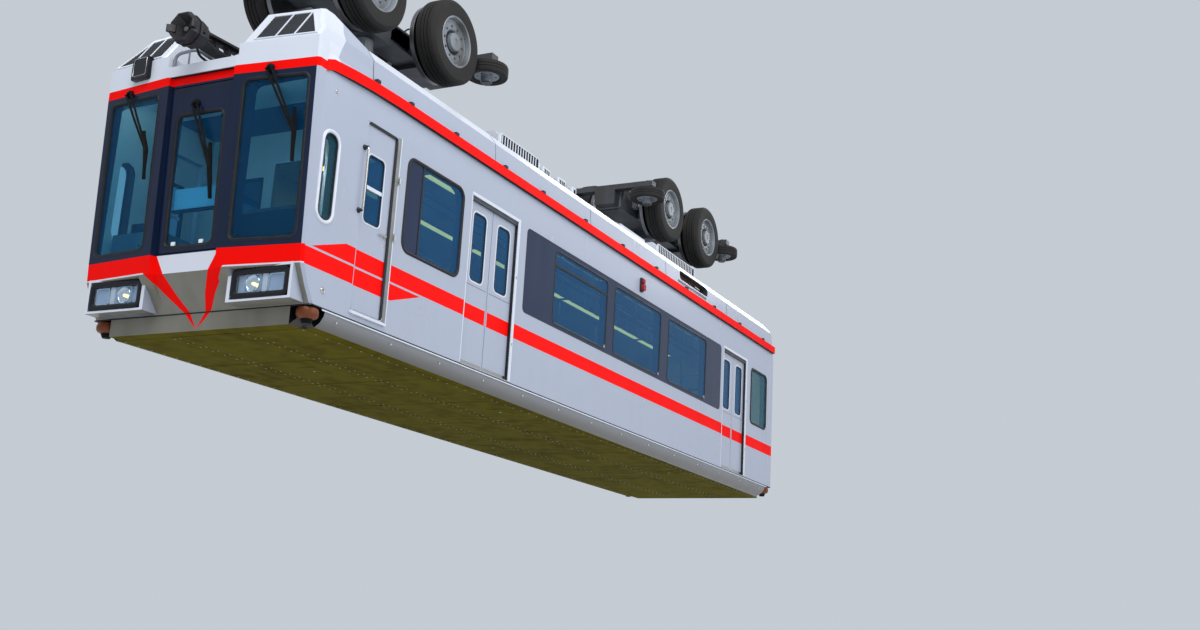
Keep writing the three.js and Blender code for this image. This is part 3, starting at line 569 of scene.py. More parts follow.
def bent(points, radius, steps=4):
    """A path with its corners rounded to a radius."""
    points = [Vector(p) for p in points]
    path = [points[0]]
    for before, here, after in zip(points, points[1:], points[2:]):
        one = here + (before - here).normalized() * radius
        two = here + (after - here).normalized() * radius
        for i in range(steps + 1):
            t = i / steps
            path.append(one * (1 - t) ** 2 + here * 2 * t * (1 - t) + two * t ** 2)
    return [*path, points[-1]]


def block(form, lo, hi, material=0):
    """A box between two corners, given an edge radius later by the piece's bevel."""
    prism(form, lambda a, b, d: Vector((a, b, d)),
          [(lo[0], lo[1]), (hi[0], lo[1]), (hi[0], hi[1]), (lo[0], hi[1])], lo[2], hi[2], material)


def smooth_by(mesh, crease_deg):
    """Smooth shading, with every edge sharper than the crease kept crisp."""
    mesh.polygons.foreach_set("use_smooth", [True] * len(mesh.polygons))
    mesh.set_sharp_from_angle(angle=math.radians(crease_deg))


def finished(name, form, materials, body="root", stands_for=(), bevel=0.0, crease=35):
    """The bmesh as a piece: outward faces, its finishes, soft edges, the body that carries it."""
    bmesh.ops.recalc_face_normals(form, faces=form.faces)
    mesh = bpy.data.meshes.new(name)
    form.to_mesh(mesh)
    form.free()
    for material in materials:
        mesh.materials.append(material)
    smooth_by(mesh, crease)
    piece = bpy.data.objects.new(name, mesh)
    scene.collection.objects.link(piece)
    if bevel:
        soften(piece, bevel)
    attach(piece, body)
    if stands_for:
        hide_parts(*stands_for)
    return piece


def soften(piece, width):
    """A live Bevel that rounds every arris, because no pressed or cast edge is razor sharp."""
    edge = piece.modifiers.new("soft_edges", "BEVEL")
    edge.width = width
    edge.segments = 2
    edge.limit_method = "ANGLE"
    edge.angle_limit = math.radians(35)
    edge.harden_normals = True
    edge.use_clamp_overlap = True


print("a rounded window has", len(rounded(0, 1, 0, 1, 0.1)), "corners")

# %% [markdown]
# A painted car is sprayed over its own panels, with the stripes masked off by tape. The same is
# done here: the skin of a construction node is copied and merged, cut along each tape line by a
# plane, and every face takes the paint of the place that it lies in. The cut lines are exact,
# so the stripes stay crisp at any distance.

# %% Skins painted along tape lines


def skin(node, name, materials, paint, tapes=(), body="root", bevel=2 * mm, crease=12,
         bend=None):
    """A node's own skin, cut along the tape planes, each face painted by its middle and normal.

    paint gives the finish of a face; bend gives the shift of a vertex, once the paint is on.
    """
    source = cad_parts[node].data
    form = bmesh.new()
    corners = [form.verts.new(v.co) for v in source.vertices]
    for polygon in source.polygons:
        form.faces.new([corners[i] for i in polygon.vertices])
    bmesh.ops.remove_doubles(form, verts=form.verts, dist=2e-5)
    flat_limit = math.radians(0.4)
    bmesh.ops.dissolve_limit(form, angle_limit=flat_limit, verts=form.verts, edges=form.edges)
    bmesh.ops.triangulate(form, faces=form.faces)
    for point, normal in tapes:
        everything = form.verts[:] + form.edges[:] + form.faces[:]
        bmesh.ops.bisect_plane(form, geom=everything, dist=1e-6, plane_co=point, plane_no=normal)
    for face in form.faces:
        face.material_index = materials.index(paint(face.calc_center_median(), face.normal))
    for vert in form.verts if bend else ():
        vert.co += bend(vert.co)
    form.normal_update()
    bmesh.ops.dissolve_limit(form, angle_limit=flat_limit, verts=form.verts, edges=form.edges,
                             delimit={"MATERIAL"})
    return finished(name, form, materials, body, (node,), bevel, crease)


def height_tapes(*heights):
    return [((0, 0, seam + h), (0, 0, 1)) for h in heights]


def cross_tapes(*backs):
    """Tape lines straight up both sides at distances behind the nose."""
    return [((nose - back, 0, 0), (1, 0, 0)) for back in backs]


def side_tape(one, two):
    """A tape line on both sides through two (distance behind the nose, height) places."""
    (back_1, h_1), (back_2, h_2) = one, two
    return (nose - back_1, 0, seam + h_1), (h_2 - h_1, 0, back_2 - back_1)


print("seam tape", height_tapes(0))

# %% [markdown]
# The waist stripes: two red bands with a thin line of body colour between them. The lower one
# wraps round from the front and runs out to a point under the first window. The upper one
# starts in a point at the corner, climbs to its full height and then runs level to the rear.
# Over the doors runs the gutter, a red lip whose front end sinks into the front's red band.

# %% Stripes and side walls
lower_band = (0.332, 0.498)
upper_band = (0.518, 0.684)
lower_end = ((1.385, 0.332), (1.89, 0.498))
upper_start = ((0.117, 0.518), (0.616, 0.684))
fascia_border = ((0.24, 2.41), (0.33, 2.60))
gutter_foot = 2.285
gutter_drop = ((0.0, -0.105), (0.155, -0.045), (0.737, -0.011), (1.2, 0.0))
gutter_taper = 0.45


def on_line(line, h):
    """Where a tape line between two places lies at a height."""
    (back_1, h_1), (back_2, h_2) = line
    return back_1 + (back_2 - back_1) * (h - h_1) / (h_2 - h_1)


def striped(back, h):
    in_lower = lower_band[0] < h < lower_band[1] and back < on_line(lower_end, h)
    in_upper = upper_band[0] < h < upper_band[1] and back > on_line(upper_start, h)
    return in_lower or in_upper


stripe_tapes = [*height_tapes(*lower_band, *upper_band), side_tape(*lower_end), side_tape(*upper_start)]
wall_finishes = [body_enamel, red_enamel, cream_laminate, seal_rubber, white_enamel]
inner_face = extent("seat_left")[1][1] + 2 * mm
crew_span = extent("crew_door_left")[0]


def paint_wall(middle, normal):
    back, out, h = nose - middle.x, abs(middle.y), middle.z - seam
    facing_out = normal.y * math.copysign(1, middle.y)
    if out > half_width + 4 * mm or (h > gutter_foot - 2 * mm and out > half_width - 15 * mm):
        # painted shadow: the gutter's underside is black rubber, standing for the shadow line under the
        # red lip
        if normal.z < -0.7:
            return seal_rubber
        if normal.z > 0.7:
            return white_enamel if back < fascia_border[0][0] else body_enamel
        return red_enamel
    if facing_out > 0.7 and out > half_width - 16 * mm:
        return red_enamel if striped(back, h) else body_enamel
    if facing_out < -0.7 and out < inner_face + 4 * mm:
        return cream_laminate
    if abs(facing_out) > 0.7:
        return seal_rubber
    if crew_span[0] - 0.02 < back < crew_span[1] + 0.02 and out > inner_face:
        return white_enamel
    return body_enamel if back > length - 0.01 or h < 0.01 else seal_rubber


def ease_gutter(co):
    """At its front end the gutter sinks and thins to run into the red band of the front."""
    back, out, h = nose - co.x, abs(co.y), co.z - seam
    if h < gutter_foot - 5 * mm or back > gutter_drop[-1][0] or out < half_width - 15 * mm:
        return Vector()
    inwards = max(0, 1 - back / gutter_taper) * -28 * mm if out > half_width + 4 * mm else 0
    for (b0, d0), (b1, d1) in zip(gutter_drop, gutter_drop[1:]):
        if back < b1:
            drop = d0 + (d1 - d0) * (back - b0) / (b1 - b0)
            return Vector((0, math.copysign(1, co.y) * inwards, drop))
    return Vector()


wall_tapes = [*stripe_tapes, *cross_tapes(*[back for back, _ in gutter_drop[1:]]),
    *cross_tapes(fascia_border[0][0], gutter_taper)]
for name in sides:
    skin(f"side_wall_{name}", f"side_wall_skin_{name}", wall_finishes, paint_wall,
         wall_tapes, bend=ease_gutter)
print("side walls painted")

# %% [markdown]
# The front mask is one moulding with sharply bent panels. Its bottom is painted a warm grey that
# stands for the body colour in shade with warm light bounced from the ground, a red band wraps
# the corners, a white field fills the middle, and two red stripes run down from it to a point on
# the belly. Above that it is navy up to a narrow red band under the white brow, and the navy's
# corner chamfer is painted body colour as a painted highlight along the edge.

# %% Front mask
mask_heights = (0.332, 0.51, 2.207, 2.295)
band_edge = 12 * mm
apex_height = -0.17
stripe_slopes = (0.5475, 0.949)


def chevron_edge(slope, h):
    """How far from the centre line an edge of the pointed stripes lies at a height."""
    return slope * (h - apex_height)


def in_chevron(out, h):
    edges = [chevron_edge(slope, h) for slope in stripe_slopes]
    return edges[0] < out < edges[1] and out < 0.5


chevron_tapes = [((0, 0, seam + apex_height),
    (0, 1, -s * slope)) for slope in stripe_slopes for s in sides.values()]


def paint_mask(middle, normal):
    back, out, h = nose - middle.x, abs(middle.y), middle.z - seam
    band_foot, band_top, navy_top, brow_foot = mask_heights
    if normal.x < -0.6 and h > band_foot:
        return cream_laminate
    if abs(normal.y) > 0.97 and out > half_width - 4 * mm:
        if h > brow_foot:
            return white_enamel
        return red_enamel if striped(back, h) or h > navy_top else body_enamel
    if h < band_foot + band_edge:
        if in_chevron(out, h):
            return red_enamel
        if h > band_foot or (normal.x > 0.97 and back < 0):
            return white_enamel
        # painted shade: the hood sides keep body colour, the rest of the bottom takes the shaded warm
        # grey
        return body_enamel if abs(normal.y) > 0.3 and out > 0.49 else shaded_skirt_enamel
    if h < band_top:
        return white_enamel if out < chevron_edge(stripe_slopes[0], h) else red_enamel
    if h < navy_top:
        # painted highlight: the chamfer on the navy field's outer corner is painted body colour
        corner_highlight = out > half_width - 26 * mm and abs(normal.y) > 0.5
        return body_enamel if corner_highlight else navy_enamel
    return red_enamel if h < brow_foot else white_enamel


mask_finishes = [body_enamel, red_enamel, shaded_skirt_enamel, navy_enamel, white_enamel, cream_laminate]
mask_tapes = [*height_tapes(*mask_heights, 0.344), *chevron_tapes, *height_tapes(*lower_band,
    *upper_band)]
skin("front_mask", "front_mask_skin", mask_finishes, paint_mask, mask_tapes, bevel=5 * mm)
skin("emergency_door", "emergency_door_skin", [navy_enamel, seal_rubber],
     lambda middle, normal: navy_enamel if abs(normal.x) > 0.7 else seal_rubber,
     body="emergency_door")
print("front painted")

# %% [markdown]
# Everything on the front sits on flat panels that lean forward. One function finds such a panel
# on a node, by its largest face that looks forward, and gives back a place function: sideways,
# height above the seam, and distance out of the panel.

# %% Panels of the front


def panel(node):
    """A place function on a node's largest flat face that looks forward."""
    found = {}
    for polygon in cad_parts[node].data.polygons:
        if polygon.normal.x > 0.75:
            depth = polygon.normal.dot(polygon.center)
            key = (*[round(c, 2) for c in polygon.normal], round(depth, 2))
            area = found.get(key, (0, 0, 0))[0] + polygon.area
            found[key] = (area, polygon.normal.copy(), polygon.center.copy())
    _, normal, point = max(found.values(), key=lambda face: face[0])

    def place(y, h, out=0.0):
        z = seam + h
        x = point.x - (normal.y * (y - point.y) + normal.z * (z - point.z)) / normal.x
        return Vector((x, y, z)) + normal * out
    return place


def mirrored(place, s):
    return lambda y, h, out=0.0: place(s * y, h, out)


def bar(form, start, end, width, thick, face, material=0, end_width=None):
    """A flat bar between two points, its broad side looking along face, tapered if asked."""
    start, end = Vector(start), Vector(end)
    across = (end - start).cross(Vector(face)).normalized()
    normal = across.cross(end - start).normalized()
    corners = []
    for point, wide in ((start, width), (end, end_width or width)):
        corners.append([form.verts.new(point + across * wide / 2 * a + normal * thick / 2 * b) for a,
            b in ((-1, -1), (1, -1), (1, 1), (-1, 1))])
    wall_of(form, corners, material)
    for ring in corners:
        form.faces.new(ring).material_index = material


screen_on = {name: mirrored(panel(f"windscreen_{name}"), s) for name, s in sides.items()}
door_on = panel("emergency_door")
print("screen corner", [round(v, 3) for v in screen_on["left"](0.515, 0.572)])

# %% [markdown]
# Each windscreen is a flat laminated pane held by an H-section rubber gasket. The gasket is a
# fat black bead round the opening, and the thin grey line in it is the filler strip that is
# pressed in last and locks the glass. A bead with a rounded section, run round the outline,
# gives that in a few hundred faces.

# %% Windscreens and the emergency door's glass
screen_outline = rounded(0.515, 1.235, 0.572, 2.150, 0.07)
door_outline = rounded(-0.300, 0.300, 0.572, 1.905, 0.08)
glass_thick = 12 * mm
reveal = 14


def gasketed(form, place, outline):
    """Glass behind its opening, an H-section gasket and the filler strip that locks it."""
    prism(form, place, grown(outline, -3 * mm), -glass_thick, 0, 0)
    bead(form, place, outline, soft_section(-26, 15, -10, reveal + 7), 1)
    bead(form, place, outline, soft_section(-8, -3, reveal, reveal + 9, 2), 2)


for name, on in screen_on.items():
    form = bmesh.new()
    gasketed(form, on, screen_outline)
    for y, h in ((0.58, 2.09), (0.60, 0.63), (1.16, 0.63)):
        turned(form, in_mm((0, 0), (9, 0), (9, 3), (5, 6), (0, 6)),
               on(y, h, 0), on(y, h, 1) - on(y, h, 0), 12, 2)
    finished(f"windscreen_pane_{name}", form, [screen_glass, seal_rubber, bezel_plastic],
        stands_for=(f"windscreen_{name}",), crease=40)

behind = lambda y, h, out=0.0: door_on(y, h, out - reveal * mm)
form = bmesh.new()
gasketed(form, behind, door_outline)
for y in (-0.19, 0.15):
    plate(form, behind, y - 0.024, y + 0.024, 0.598, 0.634, 5, 1, 12, 3)
for y in (-0.255, 0.255):
    turned(form, in_mm((0, 0), (10, 0), (7, 7), (0, 8)), behind(y, 1.84, 0),
           behind(y, 1, 1) - behind(y, 1, 0), 12, 2)
plate(form, behind, -0.268, 0.262, 0.965, 1.165, 8, -42, -36, 3)
plate(form, behind, -0.280, 0.275, 0.935, 0.957, 4, -70, -22, 4, 2)
plate(form, door_on, -0.345, 0.355, 2.135, 2.147, 2, -2, 1, 1, 2)
finished("emergency_door_glass", form, [screen_glass, seal_rubber, bezel_plastic, sign_acrylic,
    grained_plastic], "emergency_door", crease=40)
print("front glazed")

# %% [markdown]
# Pantograph wipers: a black motor cover, two thin parallel arms, and a blade that stays upright
# while they swing. They are bought-in parts that hang without a joint here. The blade is widest
# where the arms hold it, so each half is a tapered flat bar with a rubber edge under it.

# %% Wipers
wipers = {
    "right": {"pivot": (0.094, -0.960, 2.212), "arm_end": (0.118, -0.589, 1.570),
              "top": (0.121, -0.660, 1.776), "low": (0.112, -0.585, 1.276), "body": "root"},
    "centre": {"pivot": (0.106, -0.058, 1.988), "arm_end": (0.086, 0.214, 1.322),
               "top": (0.098, 0.185, 1.560), "low": (0.072, 0.245, 1.011), "body": "emergency_door"},
    "left": {"pivot": (0.112, 0.808, 2.227), "arm_end": (0.055, 1.150, 1.566),
             "top": (0.068, 1.129, 1.804), "low": (0.049, 1.149, 1.281), "body": "root"},
}
lift = Vector((34 * mm, 0, -6 * mm))
for name, w in wipers.items():
    form = bmesh.new()
    pivot, grip, top, low = (ahead_at(*w[k]) for k in ("pivot", "arm_end", "top", "low"))
    out = Vector((1, 0, -0.04))
    cover = in_mm((0, -20), (44, -20), (44, 12), (36, 26), (20, 34), (0, 35))
    turned(form, cover, pivot, out, 24)
    rod(form, pivot + out * 30 * mm, pivot + out * 52 * mm, 13 * mm, 14)
    sideways = (grip - pivot).cross(out).normalized()
    for offset, reach_back in ((27 * mm, 0), (-27 * mm, 40 * mm)):
        start = pivot + lift + sideways * offset
        start += (grip - pivot).normalized() * reach_back
        end = grip + lift + sideways * offset * 0.35
        tube(form, [start, start.lerp(end, 0.5) + out * 5 * mm, end], 12 * mm, 10)
        rod(form, start - out * 8 * mm, start + out * 14 * mm, 12 * mm, 12)
    rod(form, grip + lift - out * 12 * mm, grip + lift + out * 14 * mm, 15 * mm, 14)
    for tip in (top, low):
        bar(form, grip + lift, tip + lift * 0.8, 54 * mm, 13 * mm, out, 0, 26 * mm)
    bar(form, top + lift * 0.45, low + lift * 0.45, 24 * mm, 18 * mm, out, 1)
    finished(f"wiper_{name}", form, [black_enamel, seal_rubber], w["body"],
        bevel=1 * mm)
print("wipers", len(wipers))

# %% [markdown]
# A headlamp unit is a moulded black bezel round a silvered housing, whose shine is painted on
# as a pale blue-grey colour: a painted reflection. The inner half holds the round sealed-beam
# lamp in its bowl, the outer half the fluted rectangular tail lamp, and a white divider stands
# between them. The clear cover lies just inside the bezel.

# %% Headlamps
lamp_opening = rounded(0.605, 1.155, 0.088, 0.258, 0.012)
bezel_section = in_mm((59, -30), (59, 4), (55, 10), (44, 12), (24, 12), (8, 8), (0, -2), (0, -42))
beam_lamp = {"y": 0.785, "h": 0.174, "radius": 0.078}
tail_lamp = (0.975, 1.145, 0.098, 0.250)
for name, s in sides.items():
    lamp_on = lambda y, h, out=0.0, s=s: ahead_at(out, s * y, h)
    form = bmesh.new()
    bead(form, lamp_on, lamp_opening, bezel_section, 0)
    # the housing's back plate, frame and tail-lamp flutes take the painted reflection colour
    prism(form, lamp_on, grown(lamp_opening, 1 * mm), -44 * mm, -38 * mm, 5)
    y, h, radius = beam_lamp["y"], beam_lamp["h"], beam_lamp["radius"]
    bowl = [(radius + 4 * mm, -38 * mm), (radius + 4 * mm, -14 * mm), (radius, -10 * mm)]
    bowl += [(radius * math.cos(a), -10 * mm - 26 * mm * math.sin(a))
             for a in [math.pi / 2 * i / 7 for i in range(1, 7)]] + [(0, -36 * mm)]
    turned(form, bowl, lamp_on(y, h), (1, 0, 0), 40, 1)
    bulb = in_mm((0, -34), (13, -34), (15, -26), (12, -17), (6, -13), (0, -12))
    turned(form, bulb, lamp_on(y, h), (1, 0, 0), 20, 4)
    frame_out = rounded(y - 0.098, y + 0.098, h - 0.088, h + 0.088, 0.03)
    bead(form, lamp_on, frame_out, soft_section(-9, 0, -38, -10, 3), 5)
    plate(form, lamp_on, 0.897, 0.957, 0.082, 0.266, 6, -38, -16, 2)
    bead(form, lamp_on, rounded(*tail_lamp, 0.02), soft_section(-4, 8, -38, -14, 3), 1)
    for i in range(14):
        rib = tail_lamp[0] + 8 * mm + i * 11.8 * mm
        rod(form, lamp_on(rib, tail_lamp[2] + 4 * mm, -33 * mm),
            lamp_on(rib, tail_lamp[3] - 4 * mm, -33 * mm), 5.4 * mm, 8, 5)
    prism(form, lamp_on, grown(lamp_opening, 3 * mm), -8 * mm, -5 * mm, 3)
    finished(f"headlamp_unit_{name}", form, [bezel_plastic, reflector, white_enamel, clear_lens,
        tube_light, housing_reflection_plastic], stands_for=(f"headlamp_{name}",), crease=40)
print("headlamps set")

# %% [markdown]
# Bolts, rivets, ribs and slats come in rows and rings. Each could be modelled by hand, but two
# Geometry Nodes trees do it by number: one sets copies of a small object along a line, the other
# round a circle. The copies are made real and given a finish, so the result is a plain mesh.

# %% Rows and rings from Geometry Nodes


def tree_of(name, sockets):
    """An empty geometry tree with named inputs, its group nodes ready."""
    tree = bpy.data.node_groups.new(name, "GeometryNodeTree")
    for label, kind in sockets.items():
        tree.interface.new_socket(name=label, in_out="INPUT", socket_type=kind)
    tree.interface.new_socket(name="Geometry", in_out="OUTPUT", socket_type="NodeSocketGeometry")
    return tree, add(tree, "NodeGroupInput").outputs


def finish_tree(tree, points, given):
    """Copies of the piece on the points, made real and given their finish."""
    item = add(tree, "GeometryNodeObjectInfo", {"Object": given["Piece"]}, transform_space="RELATIVE")
    copies = add(tree, "GeometryNodeInstanceOnPoints", {
        "Points": points, "Instance": item.outputs["Geometry"], "Scale": given["Scale"]})
    spun = add(tree, "GeometryNodeRotateInstances", {
        "Instances": copies.outputs["Instances"], "Rotation": given["Turn"]})
    real = add(tree, "GeometryNodeRealizeInstances", {"Geometry": spun.outputs["Instances"]})
    coated = add(tree, "GeometryNodeSetMaterial", {
        "Geometry": real.outputs["Geometry"], "Material": given["Finish"]})
    add(tree, "NodeGroupOutput", {"Geometry": coated.outputs["Geometry"]})


common = {"Piece": "NodeSocketObject", "Scale": "NodeSocketVector", "Turn": "NodeSocketRotation",
    "Finish": "NodeSocketMaterial", "Count": "NodeSocketInt"}
row_tree, given = tree_of("pieces_in_a_row", {
    **common, "Start": "NodeSocketVector", "Step": "NodeSocketVector"})
line = add(row_tree, "GeometryNodeMeshLine", {
    "Count": given["Count"], "Start Location": given["Start"], "Offset": given["Step"]})
finish_tree(row_tree, line.outputs["Mesh"], given)

ring_tree, given = tree_of("pieces_in_a_ring", {
    **common, "Radius": "NodeSocketFloat", "Centre": "NodeSocketVector", "Tilt": "NodeSocketRotation"})
circle = add(ring_tree, "GeometryNodeMeshCircle", {
    "Vertices": given["Count"], "Radius": given["Radius"]})
tilted = add(ring_tree, "GeometryNodeTransform", {
    "Geometry": circle.outputs["Mesh"], "Translation": given["Centre"], "Rotation": given["Tilt"]})
finish_tree(ring_tree, tilted.outputs["Geometry"], given)


def repeated(tree, piece, material, **values):
    """The tree's result as a plain mesh, ready to be put into a form."""
    carrier = bpy.data.objects.new("pattern", bpy.data.meshes.new("pattern"))
    scene.collection.objects.link(carrier)
    modifier = carrier.modifiers.new("pattern", "NODES")
    modifier.node_group = tree
    values = {"Piece": piece, "Finish": material, **values}
    for socket in tree.interface.items_tree:
        if socket.name in values:
            modifier[socket.identifier] = values[socket.name]
    bpy.context.view_layer.update()
    evaluated = carrier.evaluated_get(bpy.context.evaluated_depsgraph_get())
    made = bpy.data.objects.new("made", bpy.data.meshes.new_from_object(evaluated))
    mesh = made.data
    bpy.data.objects.remove(made)
    bpy.data.objects.remove(carrier)
    return mesh


def put(form, mesh, material):
    """A mesh added to a form, all its faces in one of the form's materials."""
    before = len(form.faces)
    form.from_mesh(mesh)
    form.faces.ensure_lookup_table()
    for face in form.faces[before:]:
        face.material_index = material
    bpy.data.meshes.remove(mesh)


def in_row(form, material, piece, finish, count, start, step, size=1, turn=(0, 0, 0)):
    """Copies of a small part set along a line and put into a form."""
    scale = size if isinstance(size, tuple) else (size,) * 3
    row = repeated(row_tree, piece, finish, Count=count, Start=start, Step=step, Scale=scale, Turn=turn)
    put(form, row, material)


def in_ring(form, material, piece, finish, count, centre, radius, size, turn=(0, 0, 0), tilt=(0, 0, 0)):
    """Copies of a small part set round a circle and put into a form."""
    ring = repeated(ring_tree, piece, finish, Count=count, Centre=centre, Radius=radius,
        Scale=(size,) * 3, Turn=turn, Tilt=tilt)
    put(form, ring, material)


def small_part(name, make):
    """A small object that the trees copy, kept out of the scene."""
    form = bmesh.new()
    make(form)
    bmesh.ops.recalc_face_normals(form, faces=form.faces)
    mesh = bpy.data.meshes.new(name)
    form.to_mesh(mesh)
    form.free()
    return bpy.data.objects.new(name, mesh)


def hexagon_head(form):
    turned(form, [(0, -0.6), (1, -0.6), (1, 0.45), (0.85, 0.6), (0, 0.6)], (0, 0, 0), (0, 0, 1), 6)


def dome_head(form):
    turned(form, [(0, -0.2), (1, -0.2), (0.9, 0.15), (0.55, 0.42), (0, 0.5)], (0, 0, 0), (0, 0, 1), 12)


bolt = small_part("bolt_head", hexagon_head)
rivet = small_part("rivet_head", dome_head)
brick = small_part("small_block", lambda form: block(form, (-0.5, -0.5, -0.5), (0.5, 0.5, 0.5)))
quarter = math.pi / 2
print("trees", len(bpy.data.node_groups))

# %% [markdown]
# The crown is the raised white roof front. Its two slopes carry dark air intakes with thin
# blades and two white stiffeners each, and the notch between them frees the coupler. Each blade
# ends at the slanting outer edge, so every one has its own length and is a bar of its own.

# %% Crown
louvre = {"inner": 0.590, "outer": 1.228, "taper": 0.66, "low": 2.556, "top": 2.880, "pitch": 0.027}
sweep = 0.1137
lean_back = 0.68


def brow_slope(s):
    """The crown's leaning front: it starts over the brow, sweeps and leans back."""
    lean = Vector((1, s * sweep, lean_back)).normalized()

    def place(y, h, out=0.0):
        return ahead_at(0.164 - sweep * (y - 0.403) - lean_back * (h - 2.516), s * y, h) + lean * out
    return place


def outer_edge(h):
    return louvre["outer"] - louvre["taper"] * (h - louvre["low"])


def paint_crown(middle, normal):
    back, out, h = nose - middle.x, abs(middle.y), middle.z - seam
    if normal.x > 0.3 or h > 2.93:
        return white_enamel
    if normal.z < -0.7 and h < 2.32:
        return ceiling_laminate
    on_flank = abs(normal.y) > 0.5 and out > 1.0
    return body_enamel if on_flank and back > on_line(fascia_border, h) else white_enamel


skin("roof_crown", "roof_crown_skin", [white_enamel, body_enamel, ceiling_laminate], paint_crown,
     [side_tape(*fascia_border)], bevel=5 * mm)
for name, s in sides.items():
    crown_on = brow_slope(s)
    intake = [(louvre["inner"], louvre["low"]), (louvre["outer"], louvre["low"]),
        (outer_edge(louvre["top"]), louvre["top"]), (louvre["inner"], louvre["top"])]
    form = bmesh.new()
    prism(form, crown_on, intake, -2 * mm, 2 * mm, 0)
    bead(form, crown_on, intake, in_mm((0, 0), (0, 9), (3, 12), (15, 12), (19, 0)), 1)
    for i in range(int((louvre["top"] - louvre["low"]) / louvre["pitch"])):
        h = louvre["low"] + (i + 0.35) * louvre["pitch"]
        one, two = crown_on(louvre["inner"], h, 3 * mm), crown_on(outer_edge(h + 0.01), h, 3 * mm)
        bar(form, one, two, 15 * mm, 2.5 * mm, crown_on(0.8, h, 0.7) - crown_on(0.8, h + 0.6, 0), 2)
    for y in (0.807, 1.010):
        top = min(louvre["top"], louvre["low"] + (louvre["outer"] - y) / louvre["taper"])
        bar(form, crown_on(y, louvre["low"], 9 * mm), crown_on(y, top, 9 * mm), 17 * mm, 8 * mm,
            crown_on(y, 2.6, 1) - crown_on(y, 2.6, 0), 1)
    finished(f"air_intake_{name}", form, [grained_plastic, white_enamel, gear_enamel],
        bevel=0.8 * mm, crease=32)
print("crown dressed")

# %% [markdown]
# In the notch stand a white closing plate over the door, with a thin black strip under it that
# paints its shadow, a bent conduit and a post behind it, and on the right hand slope a black
# antenna box with a light edge line.

# %% Notch plate, conduit and box
form = bmesh.new()
notch_at = lambda a, b, d=0.0: ahead_at(d, a, b)
plate(form, notch_at, -0.420, 0.420, 2.289, 2.397, 4, 75, 160, 0, 2)
# painted shadow: a thin black strip under the white plate
plate(form, notch_at, -0.418, 0.418, 2.281, 2.289, 2, 90, 150, 1, 2)
conduit = bent([ahead_at(0.10, -0.425, 2.39), ahead_at(0.10, -0.425, 2.56), ahead_at(0.06, -0.20, 2.60),
    ahead_at(-0.35, -0.17, 2.55)], 0.07)
tube(form, conduit, 17 * mm, 14, 2)
rod(form, notch_at(-0.265, 2.39, 0.08), notch_at(-0.265, 2.575, 0.08), 9 * mm, 12, 2)
rod(form, notch_at(0.33, 2.39, 0.05), notch_at(0.33, 2.47, 0.05), 14 * mm, 14, 2)
brow_x = 0.168 - 0.102 / 0.897 * (0.80 - 0.403)
box_at = lambda a, b, d=0.0: ahead_at(brow_x + d - sweep * (abs(a) - 0.80), a, b)
plate(form, box_at, -0.930, -0.690, 2.330, 2.565, 22, -20, 45, 1)
bead(form, box_at, rounded(-0.905, -0.725, 2.372, 2.55, 14 * mm, 3),
     soft_section(0, 6, 40, 49, 2), 3)
finished("notch_fittings", form, [white_enamel, bezel_plastic, steel_enamel, stainless],
    bevel=1.5 * mm)
print("conduit points", len(conduit))

# %% [markdown]
# The front coupler is a steel casting: a slim arm with lightening holes carries an eight-sided
# head with two horns that guide its mate. Cast faces are rough and dark, only the pin in the
# mouth is worn bright. The head is stacked from prisms, the arm is a pierced plate with flanges.

# %% Coupler
form = bmesh.new()
axis_h = 2.612
tip = ahead_at(0, 0, axis_h)
head_on = lambda a, b, d=0.0: tip + Vector((d, a, b))


def eight_sided(radius):
    corners = [math.pi / 8 + math.pi / 4 * i for i in range(8)]
    return [(radius * math.cos(a), radius * math.sin(a)) for a in corners]


head_steps = ((0.120, 0.235, 0.285), (0.146, 0.28, 0.372), (0.163, 0.366, 0.392), (0.150, 0.388, 0.405))
for radius, d0, d1 in head_steps:
    prism(form, head_on, eight_sided(radius), d0, d1, 0)
mouth = in_mm((0, 400), (8, 405), (16, 452), (14, 468), (2, 500), (-12, 501), (-40, 450), (-70, 405))
bead(form, head_on, eight_sided(0.148), mouth, 0)
turned(form, [(0.030, 0.398), (0.030, 0.430), (0.022, 0.440), (0, 0.440)], tip, (1, 0, 0), 24, 1)
for s in (1, -1):
    horn = lambda a, b, d=0.0, s=s: tip + Vector((a, s * b, d))
    prism(form, horn, [(0.405, 0.120), (0.455, 0.160), (0.515, 0.172), (0.528, 0.160), (0.505, 0.120),
        (0.470, 0.095)], -0.036, 0.036, 0)
    prism(form, horn, [(0.200, 0.070), (0.330, 0.150), (0.368, 0.150), (0.368, 0.100)], -0.020, 0.020,
          0)
side_on = lambda a, b, d=0.0: ahead_at(a, d, b)
arm = [(-0.728, 2.4405), (-0.430, 2.4405), (-0.380, 2.532), (0.270, 2.555), (0.270, 2.668),
       (-0.555, 2.708), (-0.728, 2.618)]
ovals = [rounded(x, x + w, 2.568, 2.568 + k, k / 2.2, 4) for x, w, k in ((-0.300, 0.13, 0.082),
    (-0.125, 0.13, 0.078), (0.045, 0.11, 0.074))]
pierced(form, side_on, arm, ovals, -0.030, 0.030, 0)
for low, high in (((-0.38, 2.530), (0.27, 2.553)), ((-0.728, 2.616), (-0.555, 2.706))):
    bar(form, side_on(*low), side_on(*high), 0.15, 0.024, (0, 0, 1), 0)
bar(form, side_on(-0.555, 2.698), side_on(0.27, 2.658), 0.15, 0.024, (0, 0, 1), 0)
block(form, ahead_at(-0.728, -0.075, 2.4405), ahead_at(-0.430, 0.075, 2.520), 0)
bolt_size = 12 * mm
in_ring(form, 1, bolt, machined, 10, tip + Vector((0.3705, 0, 0)), 0.1325, bolt_size,
        turn=(0, -quarter, 0), tilt=(0, quarter, 0))
